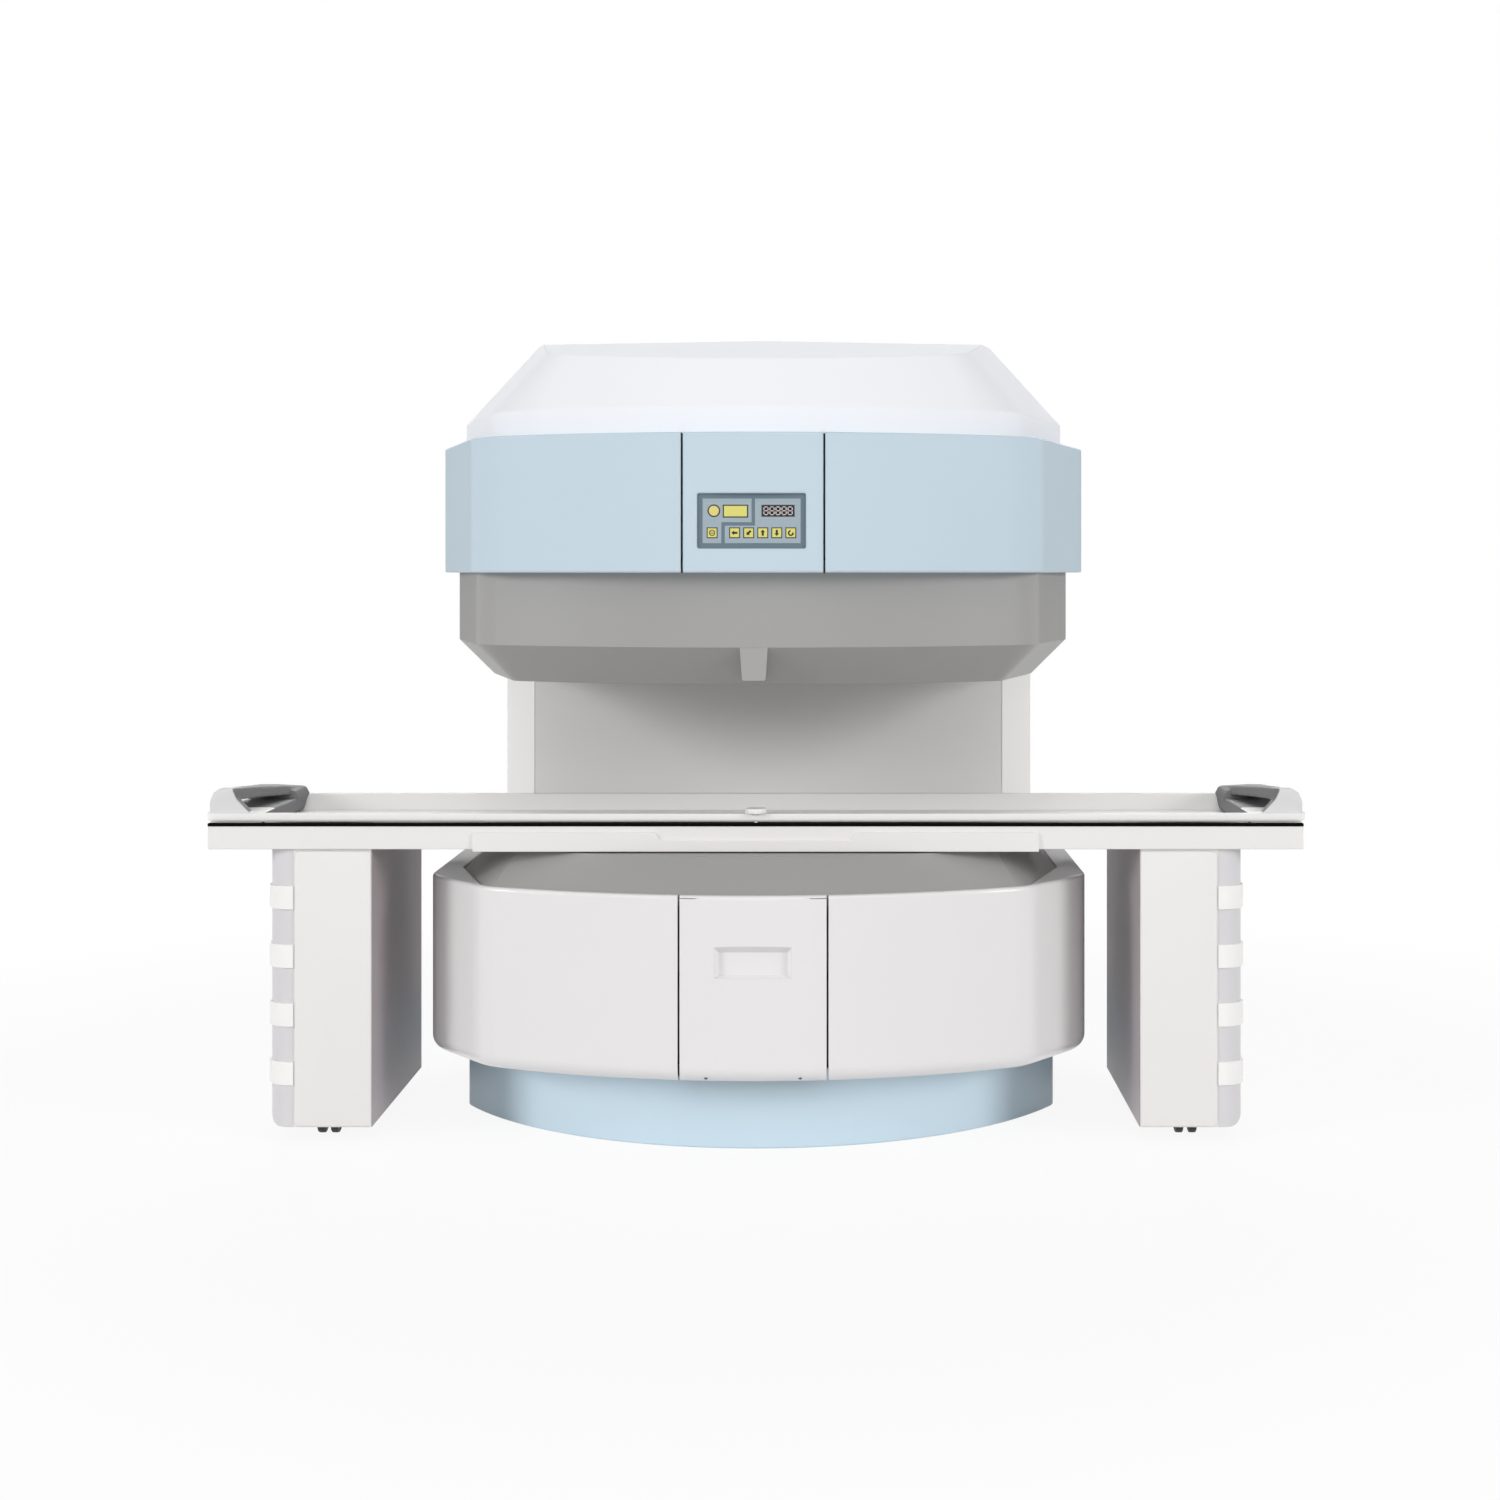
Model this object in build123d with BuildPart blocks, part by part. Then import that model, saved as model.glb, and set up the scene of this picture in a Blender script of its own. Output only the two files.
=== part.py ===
from build123d import *

import os
from math import radians, sqrt, tan
from typing import NamedTuple

# Open magnetic resonance scanner: a C shaped magnet and a patient table that rolls through its gap.
# Millimetres. X runs along the table, Y from the front of the magnet to its rear column, Z up.
# The origin lies on the floor, under the axis that the two poles are set about.

# Driving dimensions of the covers
cover_wall = 6
seam = 4
front_room = 180
rear_room = 20
ring_side_room = 145
ring_overhang = 50
ring_rise = 191
ring_shoulder_setback = 155
head_shoulder_setback = 111
ring_widest_y = 40
ring_corner = 180
ring_edge_radius = 4
ring_lip = 18
base_side_room = 115
base_rise = 147
base_shoulder_setback = 145
base_widest_y = -320
base_corner = 150
pole_cover_set_back = 16
pole_cover_side_room = 55
pole_cover_shoulder_setback = 90
pole_cover_widest_y = -200
pole_cover_corner = 60
pole_skirt_gap = 0.5
base_rim_radius = 8
base_foot_radius = 32
plinth_front_room = 45
plinth_side_room = 58
plinth_rise = 396
plinth_corner = 40
plinth_edge_radius = 5

# Heights above the floor, from the plinth to the roof
plinth_height = 172
base_height = 398
pole_slope_height = 76
pole_slope_inset = 85
pole_gap = 371
head_slope_height = 83
head_slope_inset = 83
head_wall_height = 160
ring_height = 299
band_height = 58
roof_height = 217
roof_corner = 300
roof_side_angle = 42
roof_front_pitch = 9
roof_side_pitch = 2.8
roof_ridge_y = 150

# Steel and coils inside the covers
pole_centre_y = -20
pole_radius = 450
pole_rim = 25
coil_gap = 1
coil_thickness = 34
pole_thickness = 80
magnet_thickness = 150
yoke_thickness = 300
yoke_front_lip = 10
yoke_side_lip = 180
yoke_rise = 61
yoke_shoulder_setback = 270
yoke_widest_y = -180
yoke_corner = 40
yoke_lip = 12
column_pole_gap = 50
column_depth = 450
column_set_in = 70
column_chamfer = 30
steel_clearance = 4
base_plate_thickness = 12
foot_pad_radius = 60
foot_pad_height = 20
foot_stud_radius = 20
front_foot_inset = 190
rear_foot_inset = 90
front_foot_setback = 1170
middle_foot_setback = 670
rear_foot_setback = 130

# Rear column covers
panel_room = 25
side_cover_room = 60
side_cover_splay = 78
side_cover_set_back = 45

# Control panel on the upper ring
fascia_margin = 36
fascia_depth = 110
display_x = -3
display_z = 1364
display_width = 230
display_height = 117
display_corner = 4
panel_recess = 10
panel_thickness = 6
panel_frame = 6
window_depth = 2
overlay_relief = 0.6
field_margin = 11
field_gap = 7
field_split_x = -3
field_split_z = 1361
field_notch_x = -67
housing_depth = 70
housing_margin = 8
housing_corner = 6
key_size = 19
key_gap = 0.3
key_proud = 1.2
key_travel = 0.8
key_flange = 1.2
key_flange_depth = 1.5
key_row_z = 1338.8
key_edge_radius = 0.6
key_places = {
    "key_light": -86.7,
    "key_left": -39.1,
    "key_select": -9.2,
    "key_up": 20.6,
    "key_down": 50.3,
    "key_reset": 80.1,
}
window_x = 53
window_z = 1385.5
window_width = 68
window_height = 23
window_sink = 0.4
lens_clearance = 0.2
lens_x = -83
lens_radius = 11
lens_proud = 0.8
lens_edge_radius = 0.7

# Laser alignment light under the upper head
laser_width = 60
laser_foot_width = 50
laser_height = 71
laser_foot_corner = 4
laser_lens_radius = 9
laser_lens_depth = 3
laser_lens_inset = 20
laser_lens_recess = 1

# Service hatch in the base
hatch_half_width = 158
hatch_depth = 70
hatch_clearance = 0.3
grip_width = 170
grip_bottom = 394
grip_top = 464
grip_depth = 15
grip_top_bevel = 15
grip_side_bevel = 12
grip_foot_bevel = 6
screw_spacing = 200
screw_radius = 4
screw_length = 7
screw_proud = 1

# Patient table
table_length = 2400
table_front = -493
table_depth = 612
rail_width = 30
rail_bottom = 648
rail_height = 53
rail_edge_radius = 2
member_width = 60
member_height = 15
guide_width = 20
guide_height = 10
guide_y_inset = 75
guide_end_gap = 30
member_lift = 2
member_pitch = 570
leg_set_in = 127
leg_width = 230
leg_inset = 10
leg_bottom = 37
leg_corner = 52
leg_foot_radius = 30
leg_foot_lip = 20
leg_inner_corner = 6
leg_wall = 4
band_count = 4
band_width = 51
band_pitch = 128.6
band_lowest = 154.6
band_thickness = 5
band_reach = 6
band_edge_radius = 1.5
apron_half_width = 620
apron_dip_half_width = 220
apron_thickness = 6
apron_bottom = 643
apron_height = 43
apron_dip = 17
apron_corner = 10

# Sliding board
board_length = 2426
board_width = 455
board_front = -475
board_gap = 5
board_edge = 18
board_floor = 6
board_trough_depth = 34
board_rim = 22
board_end_rim = 22
board_slope = 40
board_corner = 30
board_lip_radius = 6
trough_corner = 22
glide_length = 80
glide_wall = 7
glide_lift = 2
glide_offset = 35
slide_clearance = 0.3

# End handles and lock knob
handle_inset = 8
handle_near_rise = 52
handle_far_rise = 21
handle_near_foot = 90
handle_near_waist = 62
handle_near_crown = 52
handle_waist_rise = 30
handle_far_foot = 124
handle_far_crown = 112
handle_far_fall = 17
handle_shoulder = 44
handle_band = 26
handle_leg = 44
grip_hole_length = 240
grip_hole_radius = 9
handle_edge_radius = 4
knob_radius = 24
knob_height = 12
knob_edge_radius = 3
knob_y = -467
stem_radius = 4
running_clearance = 0.05

# Casters
caster_front_inset = 93
caster_rear_inset = 89
wheel_radius = 30
wheel_width = 17
web_width = 12
web_gap = 0.5
caster_trail = 20
axle_radius = 4
web_radius = 11
tread_shoulder = 5
tread_flat = 4
stem_post_radius = 6
swivel_radius = 22
swivel_height = 12
swivel_top = 78
leg_plate_thickness = 8

# Plan sizes that follow from the poles outwards
coil_radius = pole_radius - pole_rim
yoke_front = pole_radius - pole_centre_y + yoke_front_lip
yoke_half_width = pole_radius + yoke_side_lip
column_front = pole_radius + pole_centre_y + column_pole_gap
column_half_width = yoke_half_width - column_set_in
steel_rear = column_front + column_depth
cover_front = yoke_front + front_room
cover_rear = steel_rear + rear_room
ring_half_width = yoke_half_width + ring_side_room
head_half_width = ring_half_width - ring_overhang + cover_wall
base_half_width = yoke_half_width + base_side_room
pole_cover_half_width = base_half_width - pole_cover_side_room
plinth_half_width = yoke_half_width + plinth_side_room
side_cover_half_width = yoke_half_width + side_cover_room
panel_front = column_front - panel_room
panel_half_width = side_cover_half_width - side_cover_splay
fascia_half_width = display_width / 2 + fascia_margin
leg_outer_x = table_length / 2 - leg_set_in
leg_inner_x = leg_outer_x - leg_width
caster_x = (leg_inner_x + leg_outer_x) / 2
caster_front_y = table_front + caster_front_inset
caster_rear_y = table_front + table_depth - caster_rear_inset

# Heights that follow from the sizes above
base_top = plinth_height + base_height
lower_face = base_top - cover_wall + pole_slope_height
upper_face = lower_face + pole_gap
head_crease = upper_face + head_slope_height
ring_bottom = head_crease + head_wall_height
ring_top = ring_bottom + ring_height
band_top = ring_top + band_height
roof_top = band_top + roof_height
lower_stack_top = lower_face - cover_wall
upper_stack_bottom = upper_face + cover_wall
yoke_bottom = lower_stack_top - coil_thickness - pole_thickness - magnet_thickness - yoke_thickness
rail_top = rail_bottom + rail_height
rim_bottom = rail_top + board_gap
rim_top = rim_bottom + board_edge
trough_floor = rim_top - board_trough_depth
board_underside = trough_floor - board_floor
table_rear = table_front + table_depth


class Plan(NamedTuple):
    """Plan of a cover: a bowed front between two shoulders, then sides running back to the rear."""

    front: float
    rise: float
    shoulder: float
    half_width: float
    widest_y: float
    rear: float
    corner: float


ring_plan = Plan(
    front=cover_front,
    rise=ring_rise,
    shoulder=ring_half_width - ring_shoulder_setback,
    half_width=ring_half_width,
    widest_y=ring_widest_y,
    rear=cover_rear,
    corner=ring_corner,
)
head_plan = Plan(
    front=cover_front - ring_overhang,
    rise=ring_rise,
    shoulder=head_half_width - head_shoulder_setback,
    half_width=head_half_width,
    widest_y=ring_widest_y - ring_overhang,
    rear=panel_front,
    corner=ring_corner - ring_overhang,
)
base_plan = Plan(
    front=cover_front,
    rise=base_rise,
    shoulder=base_half_width - base_shoulder_setback,
    half_width=base_half_width,
    widest_y=base_widest_y,
    rear=cover_rear,
    corner=base_corner,
)
pole_plan = Plan(
    front=cover_front - pole_cover_set_back,
    rise=base_rise,
    shoulder=pole_cover_half_width - pole_cover_shoulder_setback,
    half_width=pole_cover_half_width,
    widest_y=pole_cover_widest_y,
    rear=panel_front,
    corner=pole_cover_corner,
)
plinth_plan = Plan(
    front=yoke_front + plinth_front_room,
    rise=plinth_rise,
    shoulder=plinth_half_width,
    half_width=plinth_half_width,
    widest_y=0,
    rear=cover_rear - cover_wall,
    corner=plinth_corner,
)
yoke_plan = Plan(
    front=yoke_front,
    rise=yoke_rise,
    shoulder=yoke_half_width - yoke_shoulder_setback,
    half_width=yoke_half_width,
    widest_y=yoke_widest_y,
    rear=steel_rear,
    corner=yoke_corner,
)


def cover_plan(plan, height, inset=0.0, rear_inset=None):
    """The closed plan at a height, moved inwards all round, with its own inset at the rear."""
    rear_y = plan.rear if rear_inset is None else plan.rear + inset - rear_inset
    shoulder_y = plan.rise - plan.front
    right = [(plan.shoulder, shoulder_y), (plan.half_width, rear_y)]
    if plan.shoulder < plan.half_width:
        right.insert(1, (plan.half_width, plan.widest_y))
    left = [(-x, y) for x, y in reversed(right)]
    with BuildSketch(Plane.XY.offset(height)) as outline:
        with BuildLine():
            ThreePointArc(left[-1], (0, -plan.front), right[0])
            Polyline(*right, *left)
        make_face()
        fillet(outline.vertices().filter_by(lambda v: v.Y < rear_y - 1), plan.corner)
        if inset:
            offset(amount=-inset)
    return outline.sketch


def block(x_range, y_range, z_range):
    """A plain box between two corners, used only to cut a cover into panels."""
    size = [b - a for a, b in (x_range, y_range, z_range)]
    centre = [(a + b) / 2 for a, b in (x_range, y_range, z_range)]
    return Pos(*centre) * Box(*size, mode=Mode.PRIVATE)


def finish(part, name):
    """Label a finished piece and write it to its own file."""
    part.label = name
    export_step(part, f"parts/{name}.step")
    return part


os.makedirs("parts", exist_ok=True)


# Steel of the magnet: base plate, feet, two yokes joined by the rear column
with BuildPart() as base_plate:
    extrude(cover_plan(yoke_plan, 0), amount=base_plate_thickness)
finish(base_plate.part, "base_plate")

front_foot_x = yoke_half_width - front_foot_inset
rear_foot_x = yoke_half_width - rear_foot_inset
foot_rows = [
    (front_foot_x, steel_rear - front_foot_setback),
    (rear_foot_x, steel_rear - middle_foot_setback),
    (rear_foot_x, steel_rear - rear_foot_setback),
]
foot_spots = [(side * x, y) for x, y in foot_rows for side in (-1, 1)]
with BuildPart() as levelling_feet:
    with Locations(*[(x, y, base_plate_thickness) for x, y in foot_spots]):
        Cylinder(foot_pad_radius, foot_pad_height, align=(Align.CENTER, Align.CENTER, Align.MIN))
        Cylinder(
            foot_stud_radius,
            yoke_bottom - base_plate_thickness,
            align=(Align.CENTER, Align.CENTER, Align.MIN),
        )
finish(levelling_feet.part, "levelling_feet")

with BuildPart() as lower_yoke:
    extrude(cover_plan(yoke_plan, yoke_bottom), amount=yoke_thickness)
    chamfer(lower_yoke.faces().sort_by(Axis.Z)[-1].edges().sort_by(Axis.Y)[0], yoke_lip)
finish(lower_yoke.part, "lower_yoke")

lower_yoke_top = yoke_bottom + yoke_thickness
upper_yoke_bottom = upper_stack_bottom + coil_thickness + pole_thickness + magnet_thickness
with BuildPart() as rear_column:
    with BuildSketch(Plane.XY.offset(lower_yoke_top)) as column_section:
        with Locations((0, (column_front + steel_rear) / 2)):
            Rectangle(2 * column_half_width, steel_rear - column_front)
        chamfer(column_section.vertices(), column_chamfer)
    extrude(amount=upper_yoke_bottom - lower_yoke_top)
finish(rear_column.part, "rear_column")

with BuildPart() as upper_yoke:
    extrude(cover_plan(yoke_plan, upper_yoke_bottom), amount=yoke_thickness)
    chamfer(upper_yoke.faces().sort_by(Axis.Z)[0].edges().sort_by(Axis.Y)[0], yoke_lip)
finish(upper_yoke.part, "upper_yoke")


# Poles: on each yoke a magnet block, a dished pole piece and a flat gradient coil
def disc(radius, bottom, thickness):
    """A round plate about the pole axis."""
    with BuildPart() as plate:
        with BuildSketch(Plane.XY.offset(bottom)):
            with Locations((0, pole_centre_y)):
                Circle(radius)
        extrude(amount=thickness)
    return plate.part


def pole_piece(bottom, rim_up):
    """A round pole piece whose raised rim holds the gradient coil."""
    with BuildPart() as plate:
        with BuildSketch(Plane.XY.offset(bottom)):
            with Locations((0, pole_centre_y)):
                Circle(pole_radius)
        extrude(amount=pole_thickness)
        rim_start = bottom + pole_thickness if rim_up else bottom
        with BuildSketch(Plane.XY.offset(rim_start)):
            with Locations((0, pole_centre_y)):
                Circle(pole_radius)
                Circle(coil_radius + coil_gap, mode=Mode.SUBTRACT)
        extrude(amount=coil_thickness / 2 if rim_up else -coil_thickness / 2)
    return plate.part


lower_pole_bottom = lower_yoke_top + magnet_thickness
upper_pole_bottom = upper_stack_bottom + coil_thickness
finish(disc(pole_radius, lower_yoke_top, magnet_thickness), "lower_magnet_block")
finish(pole_piece(lower_pole_bottom, True), "lower_pole_piece")
finish(disc(coil_radius, lower_pole_bottom + pole_thickness, coil_thickness), "lower_gradient_coil")
finish(disc(coil_radius, upper_stack_bottom, coil_thickness), "upper_gradient_coil")
finish(pole_piece(upper_pole_bottom, False), "upper_pole_piece")
finish(
    disc(pole_radius, upper_pole_bottom + pole_thickness, magnet_thickness), "upper_magnet_block"
)


# Blue plinth cover that hides the feet and the lower yoke
with BuildPart() as plinth_cover:
    extrude(cover_plan(plinth_plan, 0), amount=plinth_height)
    fillet(plinth_cover.faces().sort_by(Axis.Z)[0].edges(), plinth_edge_radius)
    extrude(cover_plan(plinth_plan, 0, cover_wall), amount=plinth_height, mode=Mode.SUBTRACT)
finish(plinth_cover.part, "plinth_cover")


# Base cover: one rounded shell, cut into a left half, a right half and the front hatch
def rounded_body(inset):
    """The base cover's outer form, or its hollow when moved inwards."""
    low = plinth_height + inset
    with BuildPart() as body:
        extrude(cover_plan(base_plan, low, inset), amount=base_top - inset - low)
        fillet(body.faces().sort_by(Axis.Z)[0].edges(), base_foot_radius - inset)
        fillet(body.faces().sort_by(Axis.Z)[-1].edges(), base_rim_radius - inset)
    return body.part


column_hole = block(
    (-yoke_half_width - steel_clearance, yoke_half_width + steel_clearance),
    (panel_front - 1, steel_rear + steel_clearance),
    (plinth_height + 2 * cover_wall, ring_top),
)
with BuildPart() as base_shell:
    add(rounded_body(0))
    add(rounded_body(cover_wall), mode=Mode.SUBTRACT)
    pole_hole = cover_plan(pole_plan, base_top - 2 * cover_wall, -pole_skirt_gap, 0)
    extrude(pole_hole, amount=3 * cover_wall, mode=Mode.SUBTRACT)
    extrude(
        cover_plan(plinth_plan, plinth_height - 1, 2 * cover_wall),
        amount=4 * cover_wall,
        mode=Mode.SUBTRACT,
    )
    add(column_hole, mode=Mode.SUBTRACT)


def side_of(shell, side, half_gap, low, high):
    """The left or right half of a shell, from the front seam to the rear seam."""
    inner = side * half_gap
    outer = side * (ring_half_width + base_half_width)
    front_block = block(sorted((inner, outer)), (-cover_front - 10, 0), (low, high))
    rear_block = block(sorted((side * seam / 2, outer)), (0, cover_rear + 10), (low, high))
    with BuildPart() as half:
        add(shell)
        with BuildPart(mode=Mode.PRIVATE) as keep:
            add(front_block)
            add(rear_block)
        add(keep.part, mode=Mode.INTERSECT)
    return half.part


for name, side in (("left", -1), ("right", 1)):
    half = side_of(base_shell.part, side, hatch_half_width + seam / 2, 0, base_top + 10)
    finish(half, f"base_cover_{name}")


# Hatch: the middle of the base's front, with a finger grip moulded into it
def screw_plane(x):
    """The plane of a screw head on the hatch's rounded lower edge."""
    bow = (base_plan.shoulder**2 + base_rise**2) / (2 * base_rise)
    sag = bow - sqrt(bow**2 - x**2)
    step = base_foot_radius * (1 - sqrt(0.5))
    return Plane((x, sag + step - cover_front, plinth_height + step), z_dir=(0, -1, -1))


def grip_pocket(start_y, wall):
    """The grip's bevelled pocket, or the boss round it when a wall is added."""
    half = grip_width / 2 + wall
    floor_half = half - grip_side_bevel
    floor_y = grip_depth + wall - cover_front
    low, high = grip_bottom - wall, grip_top + wall
    with BuildPart() as pocket:
        with BuildSketch(Plane.XZ.offset(-start_y)) as mouth:
            with Locations((0, (low + high) / 2)):
                Rectangle(2 * half, high - low)
        floor_low, floor_high = low + grip_foot_bevel, high - grip_top_bevel
        with BuildSketch(Plane.XZ.offset(-floor_y)) as floor:
            with Locations((0, (floor_low + floor_high) / 2)):
                Rectangle(2 * floor_half, floor_high - floor_low)
        loft(Sketch() + [mouth.sketch, floor.sketch], ruled=True)
    return pocket.part


hatch_inner = hatch_half_width - seam / 2
hatch_rear = -cover_front + hatch_depth
with BuildPart() as hatch:
    add(base_shell.part)
    add(
        block((-hatch_inner, hatch_inner), (-cover_front - 5, hatch_rear), (0, base_top + 5)),
        mode=Mode.INTERSECT,
    )
    rest_cut = base_top - cover_wall
    add(
        block(
            (-hatch_inner, hatch_inner),
            (-cover_front + cover_wall, hatch_rear),
            (rest_cut - 1, rest_cut + hatch_clearance),
        ),
        mode=Mode.SUBTRACT,
    )
    add(grip_pocket(cover_wall - 1 - cover_front, cover_wall))
    add(grip_pocket(-cover_front - 1, 0), mode=Mode.SUBTRACT)
    for x in (-screw_spacing / 2, screw_spacing / 2):
        with BuildSketch(screw_plane(x).offset(screw_proud)):
            Circle(screw_radius + running_clearance)
        extrude(amount=-3 * screw_length, mode=Mode.SUBTRACT)
finish(hatch.part, "hatch")

with BuildPart() as hatch_screws:
    for x in (-screw_spacing / 2, screw_spacing / 2):
        with BuildSketch(screw_plane(x).offset(screw_proud)):
            Circle(screw_radius)
        extrude(amount=-screw_length)
finish(hatch_screws.part, "hatch_screws")


# Pole covers: the lower one rises from the base rim, the upper one hangs from the ring
def tapered_cover(plan, start, straight, slope, inset_at_face, upward, shrink):
    """Straight skirt and sloping rim that closes on a flat face, moved inwards by shrink."""
    way = 1 if upward else -1
    crease = start + way * straight
    face = crease + way * (slope - shrink)
    with BuildPart() as cover:
        extrude(cover_plan(plan, start, shrink, 0), amount=way * straight)
        loft(
            Sketch() + [
                cover_plan(plan, crease, shrink, 0),
                cover_plan(plan, face, shrink + inset_at_face, 0),
            ],
            ruled=True,
        )
    return cover.part


skirt_bottom = base_top - 4 * cover_wall
skirt_height = base_top - cover_wall - skirt_bottom
with BuildPart() as lower_pole_cover:
    lower_slope = (pole_slope_height, pole_slope_inset, True)
    add(tapered_cover(pole_plan, skirt_bottom, skirt_height, *lower_slope, 0))
    extrude(
        cover_plan(pole_plan, base_top - 2 * cover_wall, -cover_wall, 0), amount=cover_wall
    )
    add(
        tapered_cover(pole_plan, skirt_bottom, skirt_height, *lower_slope, cover_wall),
        mode=Mode.SUBTRACT,
    )
finish(lower_pole_cover.part, "lower_pole_cover")

upper_slope = (head_slope_height, head_slope_inset, False)
head_body = tapered_cover(head_plan, ring_bottom, head_wall_height, *upper_slope, 0)
with BuildPart() as upper_pole_cover:
    add(head_body)
    add(
        tapered_cover(head_plan, ring_bottom, head_wall_height, *upper_slope, cover_wall),
        mode=Mode.SUBTRACT,
    )
finish(upper_pole_cover.part, "upper_pole_cover")

laser_foot = head_crease - laser_height
laser_front = -head_plan.front
with BuildPart() as laser_housing:
    with BuildSketch(Plane.XZ.offset(-laser_front)) as laser_face:
        with BuildLine():
            Polyline(
                (-laser_width / 2, head_crease),
                (laser_width / 2, head_crease),
                (laser_foot_width / 2, laser_foot),
                (-laser_foot_width / 2, laser_foot),
                close=True,
            )
        make_face()
    extrude(amount=-head_slope_height)
    fillet(laser_housing.edges().filter_by(Axis.Y).group_by(Axis.Z)[0], laser_foot_corner)
    add(head_body, mode=Mode.SUBTRACT)
    with Locations((0, laser_front + laser_lens_inset, laser_foot)):
        Cylinder(
            laser_lens_radius,
            laser_lens_depth,
            align=(Align.CENTER, Align.CENTER, Align.MIN),
            mode=Mode.SUBTRACT,
        )
finish(laser_housing.part, "laser_housing")

with BuildPart() as laser_lens:
    with Locations((0, laser_front + laser_lens_inset, laser_foot + laser_lens_recess)):
        Cylinder(
            laser_lens_radius,
            laser_lens_depth - laser_lens_recess,
            align=(Align.CENTER, Align.CENTER, Align.MIN),
        )
finish(laser_lens.part, "laser_lens")


# Ring cover: a blue shell round the upper yoke, cut into two sides and the control fascia
with BuildPart() as ring_shell:
    extrude(cover_plan(ring_plan, ring_bottom), amount=ring_height)
    fillet(ring_shell.faces().filter_by(Axis.Z).edges(), ring_edge_radius)
    extrude(
        cover_plan(ring_plan, ring_bottom + cover_wall, cover_wall),
        amount=ring_height - 2 * cover_wall,
        mode=Mode.SUBTRACT,
    )
    extrude(
        cover_plan(head_plan, ring_bottom - 1, ring_lip, 0),
        amount=cover_wall + 2,
        mode=Mode.SUBTRACT,
    )
    extrude(
        cover_plan(ring_plan, ring_top - cover_wall - 1, ring_overhang + ring_lip, ring_lip),
        amount=cover_wall + 2,
        mode=Mode.SUBTRACT,
    )
    add(column_hole, mode=Mode.SUBTRACT)

for name, side in (("left", -1), ("right", 1)):
    half = side_of(ring_shell.part, side, fascia_half_width + seam / 2, ring_bottom - 5, ring_top + 5)
    finish(half, f"ring_cover_{name}")

fascia_inner = fascia_half_width - seam / 2
panel_front_y = -cover_front + panel_recess
with BuildPart() as control_fascia:
    add(ring_shell.part)
    add(
        block(
            (-fascia_inner, fascia_inner),
            (-cover_front - 5, -cover_front + fascia_depth),
            (ring_bottom - 5, ring_top + 5),
        ),
        mode=Mode.INTERSECT,
    )
    frame_depth = panel_recess + panel_thickness
    frame_half_width = display_width / 2 + panel_frame
    frame_half_height = display_height / 2 + panel_frame
    add(
        block(
            (display_x - frame_half_width, display_x + frame_half_width),
            (-cover_front + cover_wall + 2, -cover_front + frame_depth),
            (display_z - frame_half_height, display_z + frame_half_height),
        )
    )
    with BuildSketch(Plane.XZ.offset(cover_front + 5)):
        with Locations((display_x, display_z)):
            RectangleRounded(display_width, display_height, display_corner)
    extrude(amount=-frame_depth - 10, mode=Mode.SUBTRACT)
finish(control_fascia.part, "control_fascia")


# Control panel: a plate with two raised fields, a digit window, a round lens and six sprung keys
left_edge = display_x - display_width / 2 + field_margin
right_edge = display_x + display_width / 2 - field_margin
top_edge = display_z + display_height / 2 - field_margin
bottom_edge = display_z - display_height / 2 + field_margin
with BuildPart() as control_panel:
    with BuildSketch(Plane.XZ.offset(-panel_front_y)):
        with Locations((display_x, display_z)):
            RectangleRounded(display_width, display_height, display_corner)
    extrude(amount=-panel_thickness)
    with BuildSketch(Plane.XZ.offset(-panel_front_y)):
        with BuildLine():
            Polyline(
                (left_edge, top_edge),
                (field_split_x, top_edge),
                (field_split_x, field_split_z),
                (field_notch_x, field_split_z),
                (field_notch_x, bottom_edge),
                (left_edge, bottom_edge),
                close=True,
            )
        make_face()
        with BuildLine():
            Polyline(
                (field_split_x + field_gap, top_edge),
                (right_edge, top_edge),
                (right_edge, bottom_edge),
                (field_notch_x + field_gap, bottom_edge),
                (field_notch_x + field_gap, field_split_z - field_gap),
                (field_split_x + field_gap, field_split_z - field_gap),
                close=True,
            )
        make_face()
    extrude(amount=overlay_relief)
    with BuildSketch(Plane.XZ.offset(-panel_front_y + overlay_relief)):
        with Locations(*[(x, key_row_z) for x in key_places.values()]):
            Rectangle(key_size + 2 * key_gap, key_size + 2 * key_gap)
    extrude(amount=-panel_thickness - overlay_relief, mode=Mode.SUBTRACT)
    flange_room = key_flange_depth + key_travel + key_gap
    flange_size = key_size + 2 * key_flange + 2 * key_gap
    with BuildSketch(Plane.XZ.offset(-panel_front_y - panel_thickness)):
        with Locations(*[(x, key_row_z) for x in key_places.values()]):
            Rectangle(flange_size, flange_size)
    extrude(amount=flange_room, mode=Mode.SUBTRACT)
    with BuildSketch(Plane.XZ.offset(-panel_front_y + overlay_relief)):
        with Locations((window_x, window_z)):
            Rectangle(window_width, window_height)
        with Locations((lens_x, window_z)):
            Circle(lens_radius)
    extrude(amount=-overlay_relief - window_depth, mode=Mode.SUBTRACT)
finish(control_panel.part, "control_panel")

with BuildPart() as digit_window:
    with BuildSketch(Plane.XZ.offset(-panel_front_y - window_depth)):
        with Locations((window_x, window_z)):
            Rectangle(window_width - 2 * lens_clearance, window_height - 2 * lens_clearance)
    extrude(amount=window_depth + overlay_relief - window_sink)
finish(digit_window.part, "digit_window")

with BuildPart() as indicator_lens:
    with BuildSketch(Plane.XZ.offset(-panel_front_y - window_depth)):
        with Locations((lens_x, window_z)):
            Circle(lens_radius - lens_clearance)
    extrude(amount=window_depth + overlay_relief + lens_proud)
    fillet(indicator_lens.faces().sort_by(Axis.Y)[0].edges(), lens_edge_radius)
finish(indicator_lens.part, "indicator_lens")

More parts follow.
